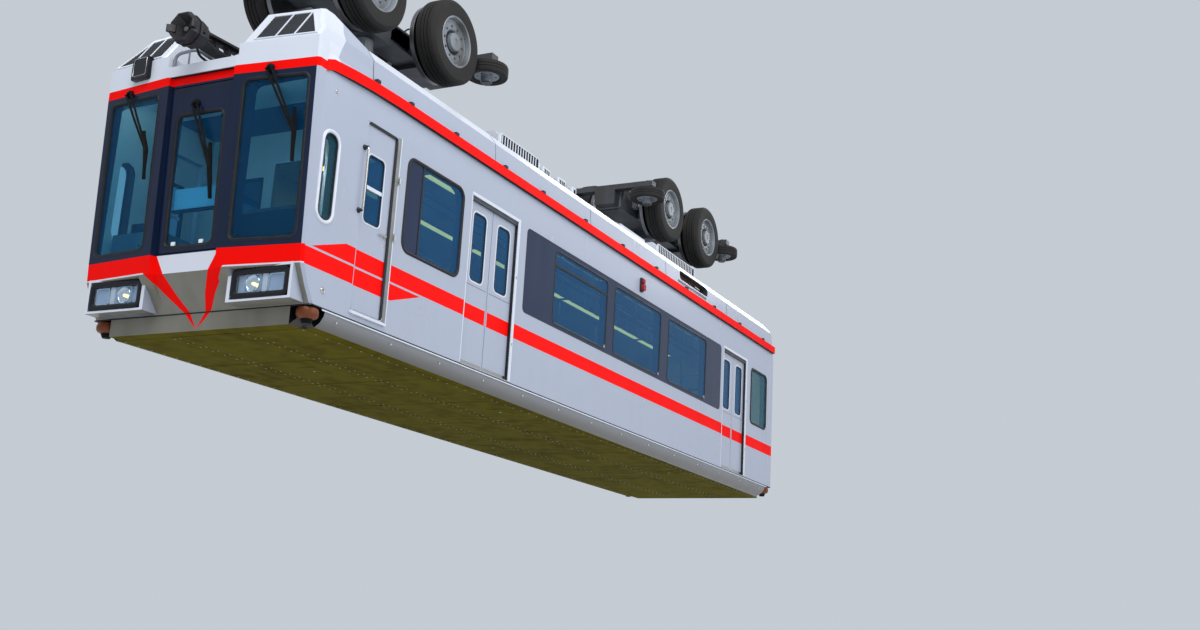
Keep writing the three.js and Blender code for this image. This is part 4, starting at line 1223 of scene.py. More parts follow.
for s in (1, -1):
    in_row(form, 1, bolt, machined, 3, ahead_at(-0.68, s * 0.055, 2.522), (0.09, 0, 0), bolt_size)
    air_hose = bent([ahead_at(0.20, s * 0.075, 2.56), ahead_at(0.10, s * 0.12, 2.50),
        ahead_at(-0.20, s * 0.13, 2.475), ahead_at(-0.50, s * 0.13, 2.47)], 0.05)
    tube(form, air_hose, 13 * mm, 12, 2)
finished("coupler_casting", form, [cast_iron, machined, seal_rubber],
    stands_for=("coupler_front",), bevel=2 * mm)
print("coupler cast")

# %% [markdown]
# On a side wall everything is a flat thing on a flat wall, so one place function per side is
# enough. The narrow window by the cab has a broad white cast frame. The crew door's opening has
# a thin painted rim, a dark seal widened along the head and the rear jamb to paint the shade in
# the recess, a grey jamb strip with a white edge and a white sill. Beside it stand a grab rail,
# two latches and two small ring fittings, and clips hold the gutter. A black rubber strip under
# the gutter paints the shadow line below it.

# %% Fittings of the side walls
quarter_outline = rounded(0.140, 0.350, 0.800, 1.645, 0.095)
crew_outline = rounded(0.773, 1.280, 0.096, 1.981, 0.045)
doorway_centres = (3.222, 10.734)
doorway_halves = (0.500, 0.486)
doorway_top = 1.881
grab_back = 0.742
clips = (0.83, 1.42, 2.28, 3.33, 4.23, 5.35, 6.45, 7.55, 8.65, 9.75, 10.85, 11.95)
for name, s in sides.items():
    on = side(s)
    form = bmesh.new()
    bead(form, on, quarter_outline, soft_section(-4, 37, -6, 14), 0)
    bead(form, on, quarter_outline, soft_section(-18, -1, -12, 4), 1)
    prism(form, on, grown(quarter_outline, -2 * mm), -22 * mm, -12 * mm, 2)
    bead(form, on, crew_outline, soft_section(-1, 9, -6, 2.5), 5)
    # painted shade: these two black strips at the door's head and rear jamb are a seal widened to stand
    # for the shade in the recess
    plate(form, on, 0.776, 1.278, 1.952, 1.980, 4, -9, -1, 1, 2)
    plate(form, on, 1.244, 1.279, 0.100, 1.975, 4, -9, -1, 1, 2)
    plate(form, on, 0.752, 1.318, 0.052, 0.078, 6, 0, 26)
    plate(form, on, 1.280, 1.330, 0.08, 1.99, 5, -4, 3, 6, 2)
    plate(form, on, 1.326, 1.338, 0.07, 2.00, 4, -4, 7, 0, 2)
    rail = in_mm((1690, -5), (1690, 50), (1055, 50), (1055, -5))
    tube(form, bent([on(grab_back, h, out) for h, out in rail], 0.03), 11 * mm, 14, 3)
    for h in (1.690, 1.055):
        turned(form, in_mm((0, -1), (28, -1), (28, 7), (17, 20), (14, 48), (0, 50)), on(grab_back, h),
               (0, s, 0), 20, 4)
    for h in (1.545, 0.955):
        plate(form, on, 1.315, 1.355, h - 0.045, h + 0.045, 6, 0, 10, 3)
        rod(form, on(1.335, h + 0.03, 20 * mm), on(1.335, h - 0.03, 20 * mm), 8 * mm, 12, 3)
    for back, h, size in ((0.245, 2.062, 16 * mm), (0.340, 0.155, 24 * mm)):
        turned(form, [(0, 1 * mm), (size * 0.55, 2 * mm), (size * 0.62, 9 * mm), (size, 10 * mm),
            (size * 1.25, 1 * mm), (0, -1 * mm)], on(back, h), (0, s, 0), 24, 3)
    for back in clips:
        plate(form, on, back - 0.030, back + 0.030, 2.388, 2.424, 5, -14, 30, 4, 2)
    # painted shadow: a black rubber strip under the gutter stands for the shadow line below it
    bar(form, on(0.85, 2.281, 2 * mm), on(length - 0.01, 2.281, 2 * mm), 8 * mm, 10 * mm, (0, s, 0), 1)
    finished(f"wall_fittings_{name}", form, [white_enamel, seal_rubber, pale_glass, stainless,
        grained_plastic, body_enamel, zinc], bevel=1 * mm)
print("fittings on")

# %% [markdown]
# The sliding doors close against rounded jambs. A pressed frame borders each doorway, broad and
# white behind the aft leaf, and its head hides the runner; a dark plate under the head paints
# the shadow there. A ribbed aluminium sill lies below, whose ribs repeat and so come from the
# row tree.

# %% Doorway frames
for name, s in sides.items():
    on = side(s)
    form = bmesh.new()
    for centre, half in zip(doorway_centres, doorway_halves):
        ahead_of, behind_of = centre - half, centre + half
        head = rounded(ahead_of - 0.012, behind_of + 0.012, doorway_top - 0.006, doorway_top + 0.030,
            0.012, 3)
        prism(form, on, head, -5 * mm, 7 * mm, 0)
        plate(form, on, behind_of, behind_of + 0.048, 0.010, doorway_top + 0.03, 6, -4, 8)
        plate(form, on, ahead_of - 0.014, ahead_of, 0.010, doorway_top + 0.02, 4, -3, 3)
        # painted shadow: a dark enamel plate under the head stands for the shadowed runner recess
        plate(form, on, ahead_of + 0.004, behind_of - 0.004, doorway_top - 0.050, doorway_top - 0.004,
              4, -34, -6, 1, 2)
        plate(form, on, ahead_of, behind_of, -0.004, 0.010, 3, -75, 10, 2, 2)
        in_row(form, 2, brick, aluminium, 5, on(centre, 0.0105, -24 * mm), (0, -s * 11 * mm, 0),
               (2 * half - 0.03, 5 * mm, 3 * mm))
        plate(form, on, behind_of - 0.008, behind_of, 0.02, doorway_top - 0.02, 2, -34, -4, 3, 2)
        for h in (0.42, 1.20):
            plate(form, on, behind_of + 0.018, behind_of + 0.034, h, h + 0.035, 3, 6, 11, 4, 2)
    finished(f"doorway_frames_{name}", form, [white_enamel, gear_enamel, aluminium, seal_rubber,
        stainless], bevel=1 * mm)
print("doorways framed", 2 * len(doorway_centres))

# %% [markdown]
# Sliding leaves are painted in line with the wall, so they use the same tape lines. Each then
# gets its glass in a black gasket with a white rim, a rubber edge where the leaves meet, a fine
# seam across at hand height, and small bright fittings.

# %% Doors painted and glazed


def paint_leaf(middle, normal):
    back, h = nose - middle.x, middle.z - seam
    facing_out = normal.y * math.copysign(1, middle.y)
    if facing_out > 0.7:
        return red_enamel if striped(back, h) else body_enamel
    return cream_laminate if facing_out < -0.7 else seal_rubber


leaf_finishes = [body_enamel, red_enamel, cream_laminate, seal_rubber]
leaf_window = {"near": 0.124, "far": 0.395, "low": 0.955, "high": 1.725, "round": 0.06}
for name, s in sides.items():
    wall_on = side(s)
    for bay, centre in zip(("front", "rear"), doorway_centres):
        for which, way in (("fore", -1), ("aft", 1)):
            node = f"door_{bay}_{name}_{which}"
            (ahead_of, behind_of), (y0, y1), (h0, h1) = extent(node)
            skin(node, f"{node}_skin", leaf_finishes, paint_leaf, stripe_tapes, node,
                 1.5 * mm)
            outer = max(abs(y0), abs(y1))
            thick = abs(y1 - y0)
            leaf_on = lambda back, h, out=0.0: wall_on(back, h, out + outer - half_width)
            leaf_in = lambda back, h, out=0.0: leaf_on(back, h, out - thick)
            edges = sorted((centre + way * leaf_window["near"], centre + way * leaf_window["far"]))
            outline = rounded(*edges, leaf_window["low"], leaf_window["high"], leaf_window["round"])
            form = bmesh.new()
            prism(form, leaf_on, grown(outline, -2 * mm), -16 * mm, -8 * mm, 0)
            bead(form, leaf_on, outline, soft_section(-13, 2, -10, 3), 1)
            bead(form, leaf_on, outline, soft_section(2, 21, -2, 4), 2)
            # a hair taller than half its width, so that this gasket keeps its two feet
            bead(form, leaf_in, outline, soft_section(-10, 12, -3.00001, 8), 1)
            meeting = behind_of if way < 0 else ahead_of
            rubber = sorted((meeting + way * 1 * mm, meeting + way * 20 * mm))
            prism(form, leaf_on, rounded(*rubber, h0 + 0.01, h1 - 0.05, 6 * mm, 3),
                  -thick + 4 * mm, 1.5 * mm, 3)
            across = sorted((meeting + way * 25 * mm, centre + way * 0.490))
            plate(form, leaf_on, *across, 0.897, 0.902, 1, -1, 0.8, 1, 2)
            lock = meeting + way * 0.034
            for h in (0.735, 0.755):
                rod(form, leaf_on(lock, h, -2 * mm), leaf_on(lock, h, 4 * mm), 5 * mm, 10, 4)
            plate(form, leaf_on, *across, 0.014, 0.060, 3, 0, 2, 4, 2)
            pull = sorted((meeting + way * 0.06, meeting + way * 0.10))
            plate(form, leaf_in, *pull, 1.02, 1.16, 15, -4, 2, 4)
            finished(f"{node}_glazing", form, [window_glass, seal_rubber, white_enamel, body_enamel,
                stainless], node, bevel=0.8 * mm)
print("sliding leaves done")

# %% [markdown]
# A crew door is a smaller hinged door with one window. Its sash bar, knob handle and kick plate
# are what one sees, so they are turned and plated on, inside and out.

# %% Crew doors
crew_window = rounded(0.846, 1.110, 0.985, 1.665, 0.05)
for name, s in sides.items():
    node = f"crew_door_{name}"
    on = side(s)
    (ahead_of, behind_of), (y0, y1), _ = extent(node)
    face = max(abs(y0), abs(y1)) - half_width
    crew_on = lambda back, h, out=0.0: on(back, h, out + face)
    skin(node, f"{node}_skin", leaf_finishes, paint_leaf, stripe_tapes, node, 2 * mm)
    form = bmesh.new()
    prism(form, crew_on, grown(crew_window, -2 * mm), -18 * mm, -10 * mm, 0)
    bead(form, crew_on, crew_window, soft_section(-10, 3, -12, 3), 1)
    bead(form, crew_on, crew_window, soft_section(3, 20, -2, 6), 2)
    plate(form, crew_on, 0.850, 1.106, 1.312, 1.350, 4, -20, 2, 2, 2)
    bead(form, crew_on, crew_window, soft_section(-10, 14, -46, -36), 1)
    handle = behind_of - 0.055
    turned(form, in_mm((0, 0), (26, 0), (26, 5), (15, 9), (12, 22), (0, 23)), crew_on(handle, 0.93),
           (0, s, 0), 20, 3)
    bar(form, crew_on(handle, 0.93, 20 * mm), crew_on(behind_of - 0.165, 0.925, 22 * mm),
        22 * mm, 9 * mm, (0, s, 0), 3, 16 * mm)
    turned(form, in_mm((0, 0), (13, 0), (11, 4), (0, 5)), crew_on(handle, 0.84),
           (0, s, 0), 16, 3)
    plate(form, crew_on, ahead_of + 0.03, behind_of - 0.03, 0.115, 0.205, 10, -51, -49, 4)
    bar(form, crew_on(behind_of - 0.14, 1.02, -62 * mm), crew_on(behind_of - 0.14, 0.80, -62 * mm),
        18 * mm, 18 * mm, (0, s, 0), 3)
    finished(f"{node}_fittings", form, [window_glass, seal_rubber, white_enamel, stainless, aluminium],
        node, bevel=1 * mm)
print("crew doors done")

# %% [markdown]
# The long dark band is a back-painted panel flush with the wall, with three windows in it. Each
# window has a black gasket, and the first a hinged vent light above its bar. The single windows
# ahead of it and at the rear end sit in fat rubber frames of their own.

# %% Side windows
band_box = extent("window_band_left")
band_outline = rounded(*band_box[0], *band_box[2], 0.06)
band_spans = ((4.655, 6.112), (6.317, 7.817), (8.078, 9.509))
band_windows = [rounded(a, b, 0.907, 1.824, 0.08) for a, b in band_spans]
vent_bar = 1.632
for name, s in sides.items():
    on = side(s)
    form = bmesh.new()
    pierced(form, on, grown(band_outline, -1 * mm), band_windows, -11.5 * mm, 1 * mm, 0)
    bead(form, on, band_outline, soft_section(-2, 7, -2, 4, 3), 2)
    for outline, (a, b) in zip(band_windows, band_spans):
        prism(form, on, grown(outline, -2 * mm), -11 * mm, -4 * mm, 1)
        bead(form, on, outline, soft_section(-24, 8, -8, 7), 2)
        plate(form, on, b - 0.060, b - 0.030, 0.922, 0.962, 4, -2, 9, 3, 2)
        if (a, b) == band_spans[0]:
            plate(form, on, a + 0.02, b - 0.02, vent_bar - 0.014, vent_bar + 0.014, 4, -8, 3, 2, 2)
            for back in (a + 0.20, b - 0.20):
                plate(form, on, back - 0.03, back + 0.03, 1.765, 1.785, 4, -22, -8, 3)
    finished(f"window_band_{name}_glazed", form, [band_glass, window_glass, seal_rubber, aluminium],
        stands_for=(f"window_band_{name}",), bevel=0.8 * mm)

    for label, corner, glass, bars in (("pocket_window", 0.120, window_glass, (1.770,)),
                                       ("rear_window", 0.090, pale_glass, ())):
        (a, b), _, (low, high) = extent(f"{label}_{name}")
        outline = rounded(a, b, low, high, corner)
        form = bmesh.new()
        prism(form, on, grown(outline, -3 * mm), -18 * mm, -8 * mm, 0)
        bead(form, on, outline, soft_section(-34, 14, -14, 11), 1)
        bead(form, on, outline, soft_section(-14, -9, 6, 13, 2), 2)
        for back in bars:
            plate(form, on, back - 0.013, back + 0.013, low + 0.01, high - 0.01, 5, -12, -1, 1, 2)
            plate(form, on, a + 0.03, back, low + 0.03, high - 0.03, 70, -7.8, -6.5, 3, 5)
        finished(f"{label}_{name}_glazed", form, [glass, seal_rubber, bezel_plastic, band_glass],
            stands_for=(f"{label}_{name}",), bevel=0.8 * mm)
print("side windows done")

# %% [markdown]
# High on the wall, between the second and third window, a red lamp shows that a door is open.

# %% Door lamps
for name, s in sides.items():
    on = side(s)
    form = bmesh.new()
    plate(form, on, 7.055, 7.145, 1.940, 2.135, 20, 0, 26, 0, 4)
    plate(form, on, 7.062, 7.138, 1.955, 2.045, 20, 24, 62, 1, 4)
    plate(form, on, 7.066, 7.134, 2.052, 2.120, 20, 24, 54, 1, 4)
    finished(f"door_lamp_{name}", form, [grained_plastic, red_lens], bevel=4 * mm)
print("door lamps", len(sides))

# %% [markdown]
# The car's belly is a shallow tub: rounded along both sides, flat below, closed by bolted cover
# plates. Their olive is painted shade with the ground's light bounced up, over faint road dust,
# and the belly's grey sides are painted darker towards the bottom as shade. A black seal and a
# light lip mark the joint with the walls. The covers are separate thin plates with real gaps,
# each with two rows of rivets.

# %% Belly
belly_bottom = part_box("underframe")[0].z - seam


def paint_belly(middle, normal):
    out, h = abs(middle.y), middle.z - seam
    if normal.x > 0.7 and middle.x > nose - 0.22:
        # the front faces outside the stripes take the skirt's painted shade
        return red_enamel if in_chevron(out, h) else shaded_skirt_enamel
    if normal.z < -0.95 and h < belly_bottom + 5 * mm:
        # the flat bottom takes the olive painted shade and ground bounce
        return underfloor_bounce_enamel
    if normal.z > 0.9 and h > -2 * mm:
        return floor_vinyl
    roller = nose - 0.285 if middle.x > 0 else rear_end + 0.130
    near_roller = math.hypot(middle.x - roller, out - 1.225) < 0.137
    # the rest takes the belly grey, painted darker than the body as shade
    return black_enamel if h < -1 * mm and near_roller else belly_shade_enamel


skin("underframe", "belly_skin",
     [belly_shade_enamel, red_enamel, underfloor_bounce_enamel, floor_vinyl, black_enamel, shaded_skirt_enamel],
     paint_belly, chevron_tapes, bevel=0, crease=28)
form = bmesh.new()
under = lambda back, y, out=0.0: ahead_at(-back, y, belly_bottom - out)
joints_along = [0.36, 1.55, 2.62, 3.86, 5.10, 6.34, 7.58, 8.82, 10.06, 11.20, 12.24]
joints_across = [-1.130, -0.42, 0.42, 1.130]
for a, b in zip(joints_along, joints_along[1:]):
    for y0, y1 in zip(joints_across, joints_across[1:]):
        plate(form, under, a + 8 * mm, b - 8 * mm, y0 + 8 * mm, y1 - 8 * mm, 20, -1, 3.5)
        for y in (y0 + 0.035, y1 - 0.035):
            in_row(form, 1, rivet, zinc, 7, under(a + 0.06, y, 3.5 * mm), (-(b - a - 0.12) / 6, 0, 0),
                   9 * mm, (math.pi, 0, 0))
for back, y in ((2.0, 0.0), (4.5, 0.8), (6.95, -0.75), (8.2, 0.1), (9.5, 0.8)):
    plate(form, under, back - 0.17, back + 0.17, y - 0.11, y + 0.11, 20, 3, 7)
    rod(form, under(back, y, 6 * mm), under(back, y, 12 * mm), 16 * mm, 14, 1)
# the cover plates carry the same olive painted shade and ground bounce
finished("underfloor_covers", form, [underfloor_bounce_enamel, zinc], bevel=1 * mm)

for name, s in sides.items():
    on = side(s)
    form = bmesh.new()
    bar(form, on(0.215, -0.004, 1 * mm), on(length - 0.01, -0.004, 1 * mm), 9 * mm, 5 * mm, (0, s, 0),
        0)
    bar(form, on(0.36, -0.020, 2 * mm), on(length - 0.2, -0.020, 2 * mm), 13 * mm, 6 * mm, (0, s, 0), 1)
    bar(form, ahead_at(-0.199, 0, -0.006), ahead_at(-0.199, s * 1.310, -0.006),
        11 * mm, 5 * mm, (1, 0, 0), 0)
    in_row(form, 2, rivet, stainless, 14, on(0.60, -0.088, -3 * mm), (-0.875, 0, 0), 11 * mm,
           (-s * quarter, 0, 0))
    finished(f"belly_seal_{name}", form, [seal_rubber, white_enamel, stainless],
        bevel=1 * mm)
print("belly closed")

# %% [markdown]
# The roof's sides are a tall fascia that hides the machines. It is body colour up to its
# shoulder and white along its rounded top edge. Sealed joints cross it, and near the rear a row
# of fine slots lets the roof drain under a long opening that shows copper pipes behind it.

# %% Roof
fascia_shoulder = 2.630
pipe_slot = {"back": (8.480, 9.570), "h": (2.512, 2.655)}
cab_end = 1.42


def paint_roof(middle, normal):
    back, out, h = nose - middle.x, abs(middle.y), middle.z - seam
    inside_slot = pipe_slot["back"][0] - 0.01 < back < pipe_slot["back"][1] + 0.01
    if inside_slot and pipe_slot["h"][0] - 0.01 < h < pipe_slot["h"][1] + 0.01 and out < 1.284:
        return gear_enamel
    if normal.z < -0.7 and h < 2.32:
        return cab_lining if back < cab_end else ceiling_laminate
    if out < 1.17 or (normal.z > 0.7 and out < 1.19):
        return deck_enamel
    return white_enamel if h > fascia_shoulder - 1 * mm else body_enamel


skin("roof", "roof_skin",
     [body_enamel, white_enamel, ceiling_laminate, deck_enamel, gear_enamel, cab_lining],
     paint_roof, cross_tapes(cab_end), bevel=4 * mm, crease=20)

# %% Roof deck and pipes
form = bmesh.new()
fascia = [(1.303, 2.412), (1.286, 2.630), (1.201, 2.750)]
for s in (1, -1):
    for back in (0.800, 3.16, 5.56, 7.96, 10.36):
        for (y0, h0), (y1, h1) in zip(fascia, fascia[1:]):
            bar(form, ahead_at(-back, s * y0, h0), ahead_at(-back, s * y1, h1), 5 * mm, 2 * mm,
                (0, s, 0.1), 0)
    for y, h, radius in ((1.18, 2.556, 20 * mm), (1.17, 2.602, 16 * mm), (1.19, 2.634, 11 * mm)):
        rod(form, ahead_at(-8.40, s * y, h), ahead_at(-9.65, s * y, h), radius, 14, 1)
    for back in (8.75, 9.05, 9.35):
        block(form, ahead_at(-back - 0.015, s * 1.14 - 0.02, 2.52),
              ahead_at(-back + 0.015, s * 1.14 + 0.02, 2.65), 2)
    in_row(form, 0, brick, black_enamel, 42, ahead_at(-8.42, s * 1.2985, 2.462), (-0.026, 0, 0),
           (9 * mm, 4 * mm, 46 * mm))
for y in (-0.16, 0.16):
    for a, b in ((0.9, 1.9), (2.6, 3.4), (7.75, 7.95), (10.4, 12.1)):
        block(form, ahead_at(-b, y - 0.05, 2.500), ahead_at(-a, y + 0.05, 2.545), 2)
tread_pitch = 0.05
for y in (-0.72, 0.72):
    for a, b in ((0.95, 1.90), (10.45, 12.35)):
        in_row(form, 3, brick, deck_enamel, int((b - a) / tread_pitch), ahead_at(-a, y, 2.502),
               (-tread_pitch, 0, 0), (22 * mm, 0.34, 8 * mm))
finished("roof_details", form, [seal_rubber, copper_pipe, steel_enamel, deck_enamel],
    bevel=1.5 * mm)
print("roof deck laid")

# %% [markdown]
# Air conditioners and inverter cases are folded white sheet metal. Their cooling sides are close
# rows of upright ribs over a dark opening, the same rib set by the row tree at each case, and two
# fans sit under ring guards in each air conditioner's lid.

# %% Air conditioners
case_face = 1.110


def ribbed_side(form, back, h, s, pitch):
    """Upright ribs over a dark opening on the outer side of a case."""
    at = lambda a, b, d=0.0: ahead_at(-a, s * (case_face + d), b)
    opening = rounded(*back, *h, 8 * mm, 2)
    prism(form, at, opening, -2 * mm, 1.5 * mm, 1)
    bead(form, at, opening, in_mm((-6, 1), (-6, 9), (6, 9), (9, 0)), 0)
    count = int((back[1] - back[0] - 0.01) / pitch)
    in_row(form, 0, brick, white_enamel, count, at(back[0] + pitch * 0.6, (h[0] + h[1]) / 2, 3 * mm),
           (-pitch, 0, 0), (pitch * 0.34, 4 * mm, h[1] - h[0]))


for label in ("front", "rear"):
    node = f"air_conditioner_{label}"
    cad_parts[node].material_slots[0].material = white_enamel
    (a, b), _, (h0, h1) = extent(node)
    form = bmesh.new()
    for s in (1, -1):
        ribbed_side(form, (a + 0.05, b - 0.05), (2.62, h1 - 0.022), s, 0.062)
        centre = ahead_at(-(a + b) / 2, s * 0.52, h1)
        turned(form, in_mm((0, -2), (300, -2), (300, 12), (285, 22), (265, 12), (262, 2), (0, 1)),
               centre, (0, 0, 1), 48, 0)
        turned(form, in_mm((0, 1), (260, 1), (260, 3), (0, 4)), centre, (0, 0, 1), 40, 1)
        for wire in (0.07, 0.12, 0.17, 0.22):
            turned(form, [(wire, 17 * mm), (wire + 4 * mm, 19 * mm), (wire + 8 * mm, 17 * mm),
                (wire + 4 * mm, 15 * mm), (wire, 17 * mm)], centre, (0, 0, 1), 40, 2)
        for spoke in range(8):
            angle = math.pi / 4 * spoke
            away = Vector((math.cos(angle), math.sin(angle), 0))
            spoke_foot = centre + Vector((0, 0, 13 * mm))
            bar(form, spoke_foot + away * 0.05, spoke_foot + away * 0.275, 8 * mm, 4 * mm, (0, 0, 1), 2)
            blade_foot = centre + Vector((0, 0, 7 * mm))
            bar(form, blade_foot + away * 0.06, blade_foot + away * 0.24, 0.07, 3 * mm,
                Vector((0, 0, 1)) + away.cross(Vector((0, 0, 1))) * 0.5, 1, 0.10)
        turned(form, in_mm((0, 2), (55, 2), (50, 16), (0, 20)), centre, (0, 0, 1), 24, 1)
    for back, lean in ((a + 0.004, quarter), (b - 0.004, -quarter)):
        in_row(form, 2, rivet, zinc, 11, ahead_at(-back, -1.0, 2.56), (0, 0.2, 0), 9 * mm, (0, lean, 0))
    finished(f"{node}_details", form, [white_enamel, black_enamel, zinc], bevel=1 * mm)
print("air conditioners", 2)

# %% Equipment cases
cases = [((4.560, 4.760), 2.890), ((4.960, 5.170), 2.890), ((5.340, 5.470), 2.890),
    ((5.620, 6.540), 2.740), ((6.810, 7.610), 2.850)]
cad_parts["roof_cases"].material_slots[0].material = white_enamel
form = bmesh.new()
for (a, b), top in cases:
    for s in (1, -1):
        if b - a > 0.5:
            ribbed_side(form, (a + 0.35 * (b - a), b - 0.05), (top - 0.13, top - 0.04), s, 0.06)
        else:
            ribbed_side(form, (a + 0.02, b - 0.02), (2.585, top - 0.02), s, 0.046)
        block(form, ahead_at(0.01 - b, s * 0.835 - 0.262, top - 1 * mm),
              ahead_at(-a - 0.01, s * 0.835 + 0.262, top + 7 * mm), 0)
        for y in (0.66, 1.01):
            grip = [(0.045, 0), (0.045, 0.03), (-0.045, 0.03), (-0.045, 0)]
            grip = [ahead_at(x - (a + b) / 2, s * y, top + rise) for x, rise in grip]
            tube(form, bent(grip, 0.012), 5 * mm, 8, 2)
        in_row(form, 2, rivet, zinc, 6, ahead_at(-a, s * 0.60, top - 0.03), (0, s * 0.094, 0), 8 * mm,
               (0, quarter, 0))
finished("roof_cases_details", form, [white_enamel, black_enamel, zinc], bevel=1 * mm)
print("roof done")

# %% [markdown]
# The running gear works out of sight, so it is plain engineering: greasy grey frames, large
# solid-shouldered rubber tyres, steel safety discs beside them, small guide wheels at the
# corners. The wheels are turned much finer than the construction solids, with grooves in the
# treads, dished discs and wheel nuts.

# %% Wheel profiles


def hollow_turned(form, profile, centre, axis, count, material):
    """A turned ring whose profile closes on itself."""
    turned(form, [*profile, profile[0]], centre, axis, count, material)
    bmesh.ops.remove_doubles(form, verts=form.verts, dist=1e-6)


def grooved(radius, low, high, grooves, wide, deep):
    """A tread from one shoulder to the other, with square grooves."""
    points = [(radius - 1.5 * mm, low)]
    for i in range(grooves):
        centre = low + (high - low) * (i + 1) / (grooves + 1)
        points += [(radius, centre - wide / 2), (radius - deep, centre - wide / 2 + 1 * mm),
            (radius - deep, centre + wide / 2 - 1 * mm), (radius, centre + wide / 2)]
    return [*points, (radius - 1.5 * mm, high)]


collar_at = 0.3856
tyre = [(0, 0.50), (0.306, 0.474), (0.390, 0.481), (0.450, 0.484), (0.476, 0.500), (0.492, 0.515),
        *grooved(0.4995, 0.530, 0.710, 3, 13 * mm, 12 * mm),
        (0.492, 0.725), (0.476, 0.740), (0.450, 0.756), (0.390, 0.757), (0.306, 0.751), (0.284, 0.745),
        (0.268, 0.690), (0, 0.690)]
disc = [(0, collar_at), (0.087, collar_at), (0.087, 0.396), (0.450, 0.396), (0.4545, 0.400),
        (0.4545, 0.446), (0.450, 0.450), (0.310, 0.469), (0.14, 0.475), (0, 0.475)]
dish = [(0, 0.680), (0.266, 0.680), (0.283, 0.748), (0.302, 0.753), (0.306, 0.748), (0.290, 0.738),
        (0.272, 0.697), (0.250, 0.692), (0.215, 0.703), (0.160, 0.703), (0.142, 0.688), (0.112, 0.688),
        (0.108, 0.732), (0.098, 0.739), (0.040, 0.739), (0.036, 0.733), (0, 0.733)]
guide_hub = in_mm((69.5, 402), (150, 404), (168, 425), (168, 505), (150, 526), (69.5, 528))
guide_tyre = [(0.150, 0.420), (0.176, 0.396), (0.232, 0.387), (0.250, 0.396), *grooved(0.2595, 0.412,
    0.518, 2, 8 * mm, 8 * mm), (0.250, 0.534), (0.232, 0.543), (0.176, 0.534), (0.150, 0.510)]
print("tyre profile points", len(tyre))


def middle_of(node):
    lo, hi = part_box(node)
    return (lo + hi) / 2, lo.z, hi.z


# %% Wheels
for bogie in ("front", "rear"):
    for end in ("fore", "aft"):
        node = f"wheelset_{bogie}_{end}"
        centre, _, _ = middle_of(node)
        form = bmesh.new()
        for s in (1, -1):
            turned(form, tyre, centre, (0, s, 0), 72, 0)
            turned(form, disc, centre, (0, s, 0), 64, 1)
            turned(form, dish, centre, (0, s, 0), 56, 2)
            in_ring(form, 1, bolt, machined, 10, centre + Vector((0, s * 0.706, 0)), 0.188, 15 * mm,
                    turn=(quarter, 0, 0), tilt=(quarter, 0, 0))
            in_ring(form, 1, bolt, machined, 16, centre + Vector((0, s * 0.3985, 0)), 0.395, 7 * mm,
                    turn=(quarter, 0, 0), tilt=(quarter, 0, 0))
        rod(form, centre - Vector((0, 0.42, 0)), centre + Vector((0, 0.42, 0)), 59.5 * mm, 40, 1)
        finished(f"{node}_turned", form, [tyre_rubber, machined, steel_enamel], node,
            stands_for=(node,), crease=28)
        for name, s in sides.items():
            node = f"guide_wheel_{bogie}_{end}_{name}"
            centre, foot, head = middle_of(node)
            centre.z = 0
            bore, hub = 36.5 * mm, 69.5 * mm
            form = bmesh.new()
            hollow_turned(form, [(bore, foot), (hub, foot), *guide_hub, (hub, head), (bore, head)],
                centre, (0, 0, 1), 48, 1)
            hollow_turned(form, guide_tyre, centre, (0, 0, 1), 56, 0)
            for z in (0.401, 0.529):
                in_ring(form, 2, bolt, machined, 6, centre + Vector((0, 0, z)), 0.112, 11 * mm)
            finished(f"{node}_turned", form, [tyre_rubber, steel_enamel, machined], node,
                stands_for=(node,), crease=28)
print("wheels turned")

# %% [markdown]
# The bogie frame's main beams are right as they are, so the node stays and takes its enamel.
# What it lacks is added over it: finned motor barrels, bolted covers, brake units and hoses.

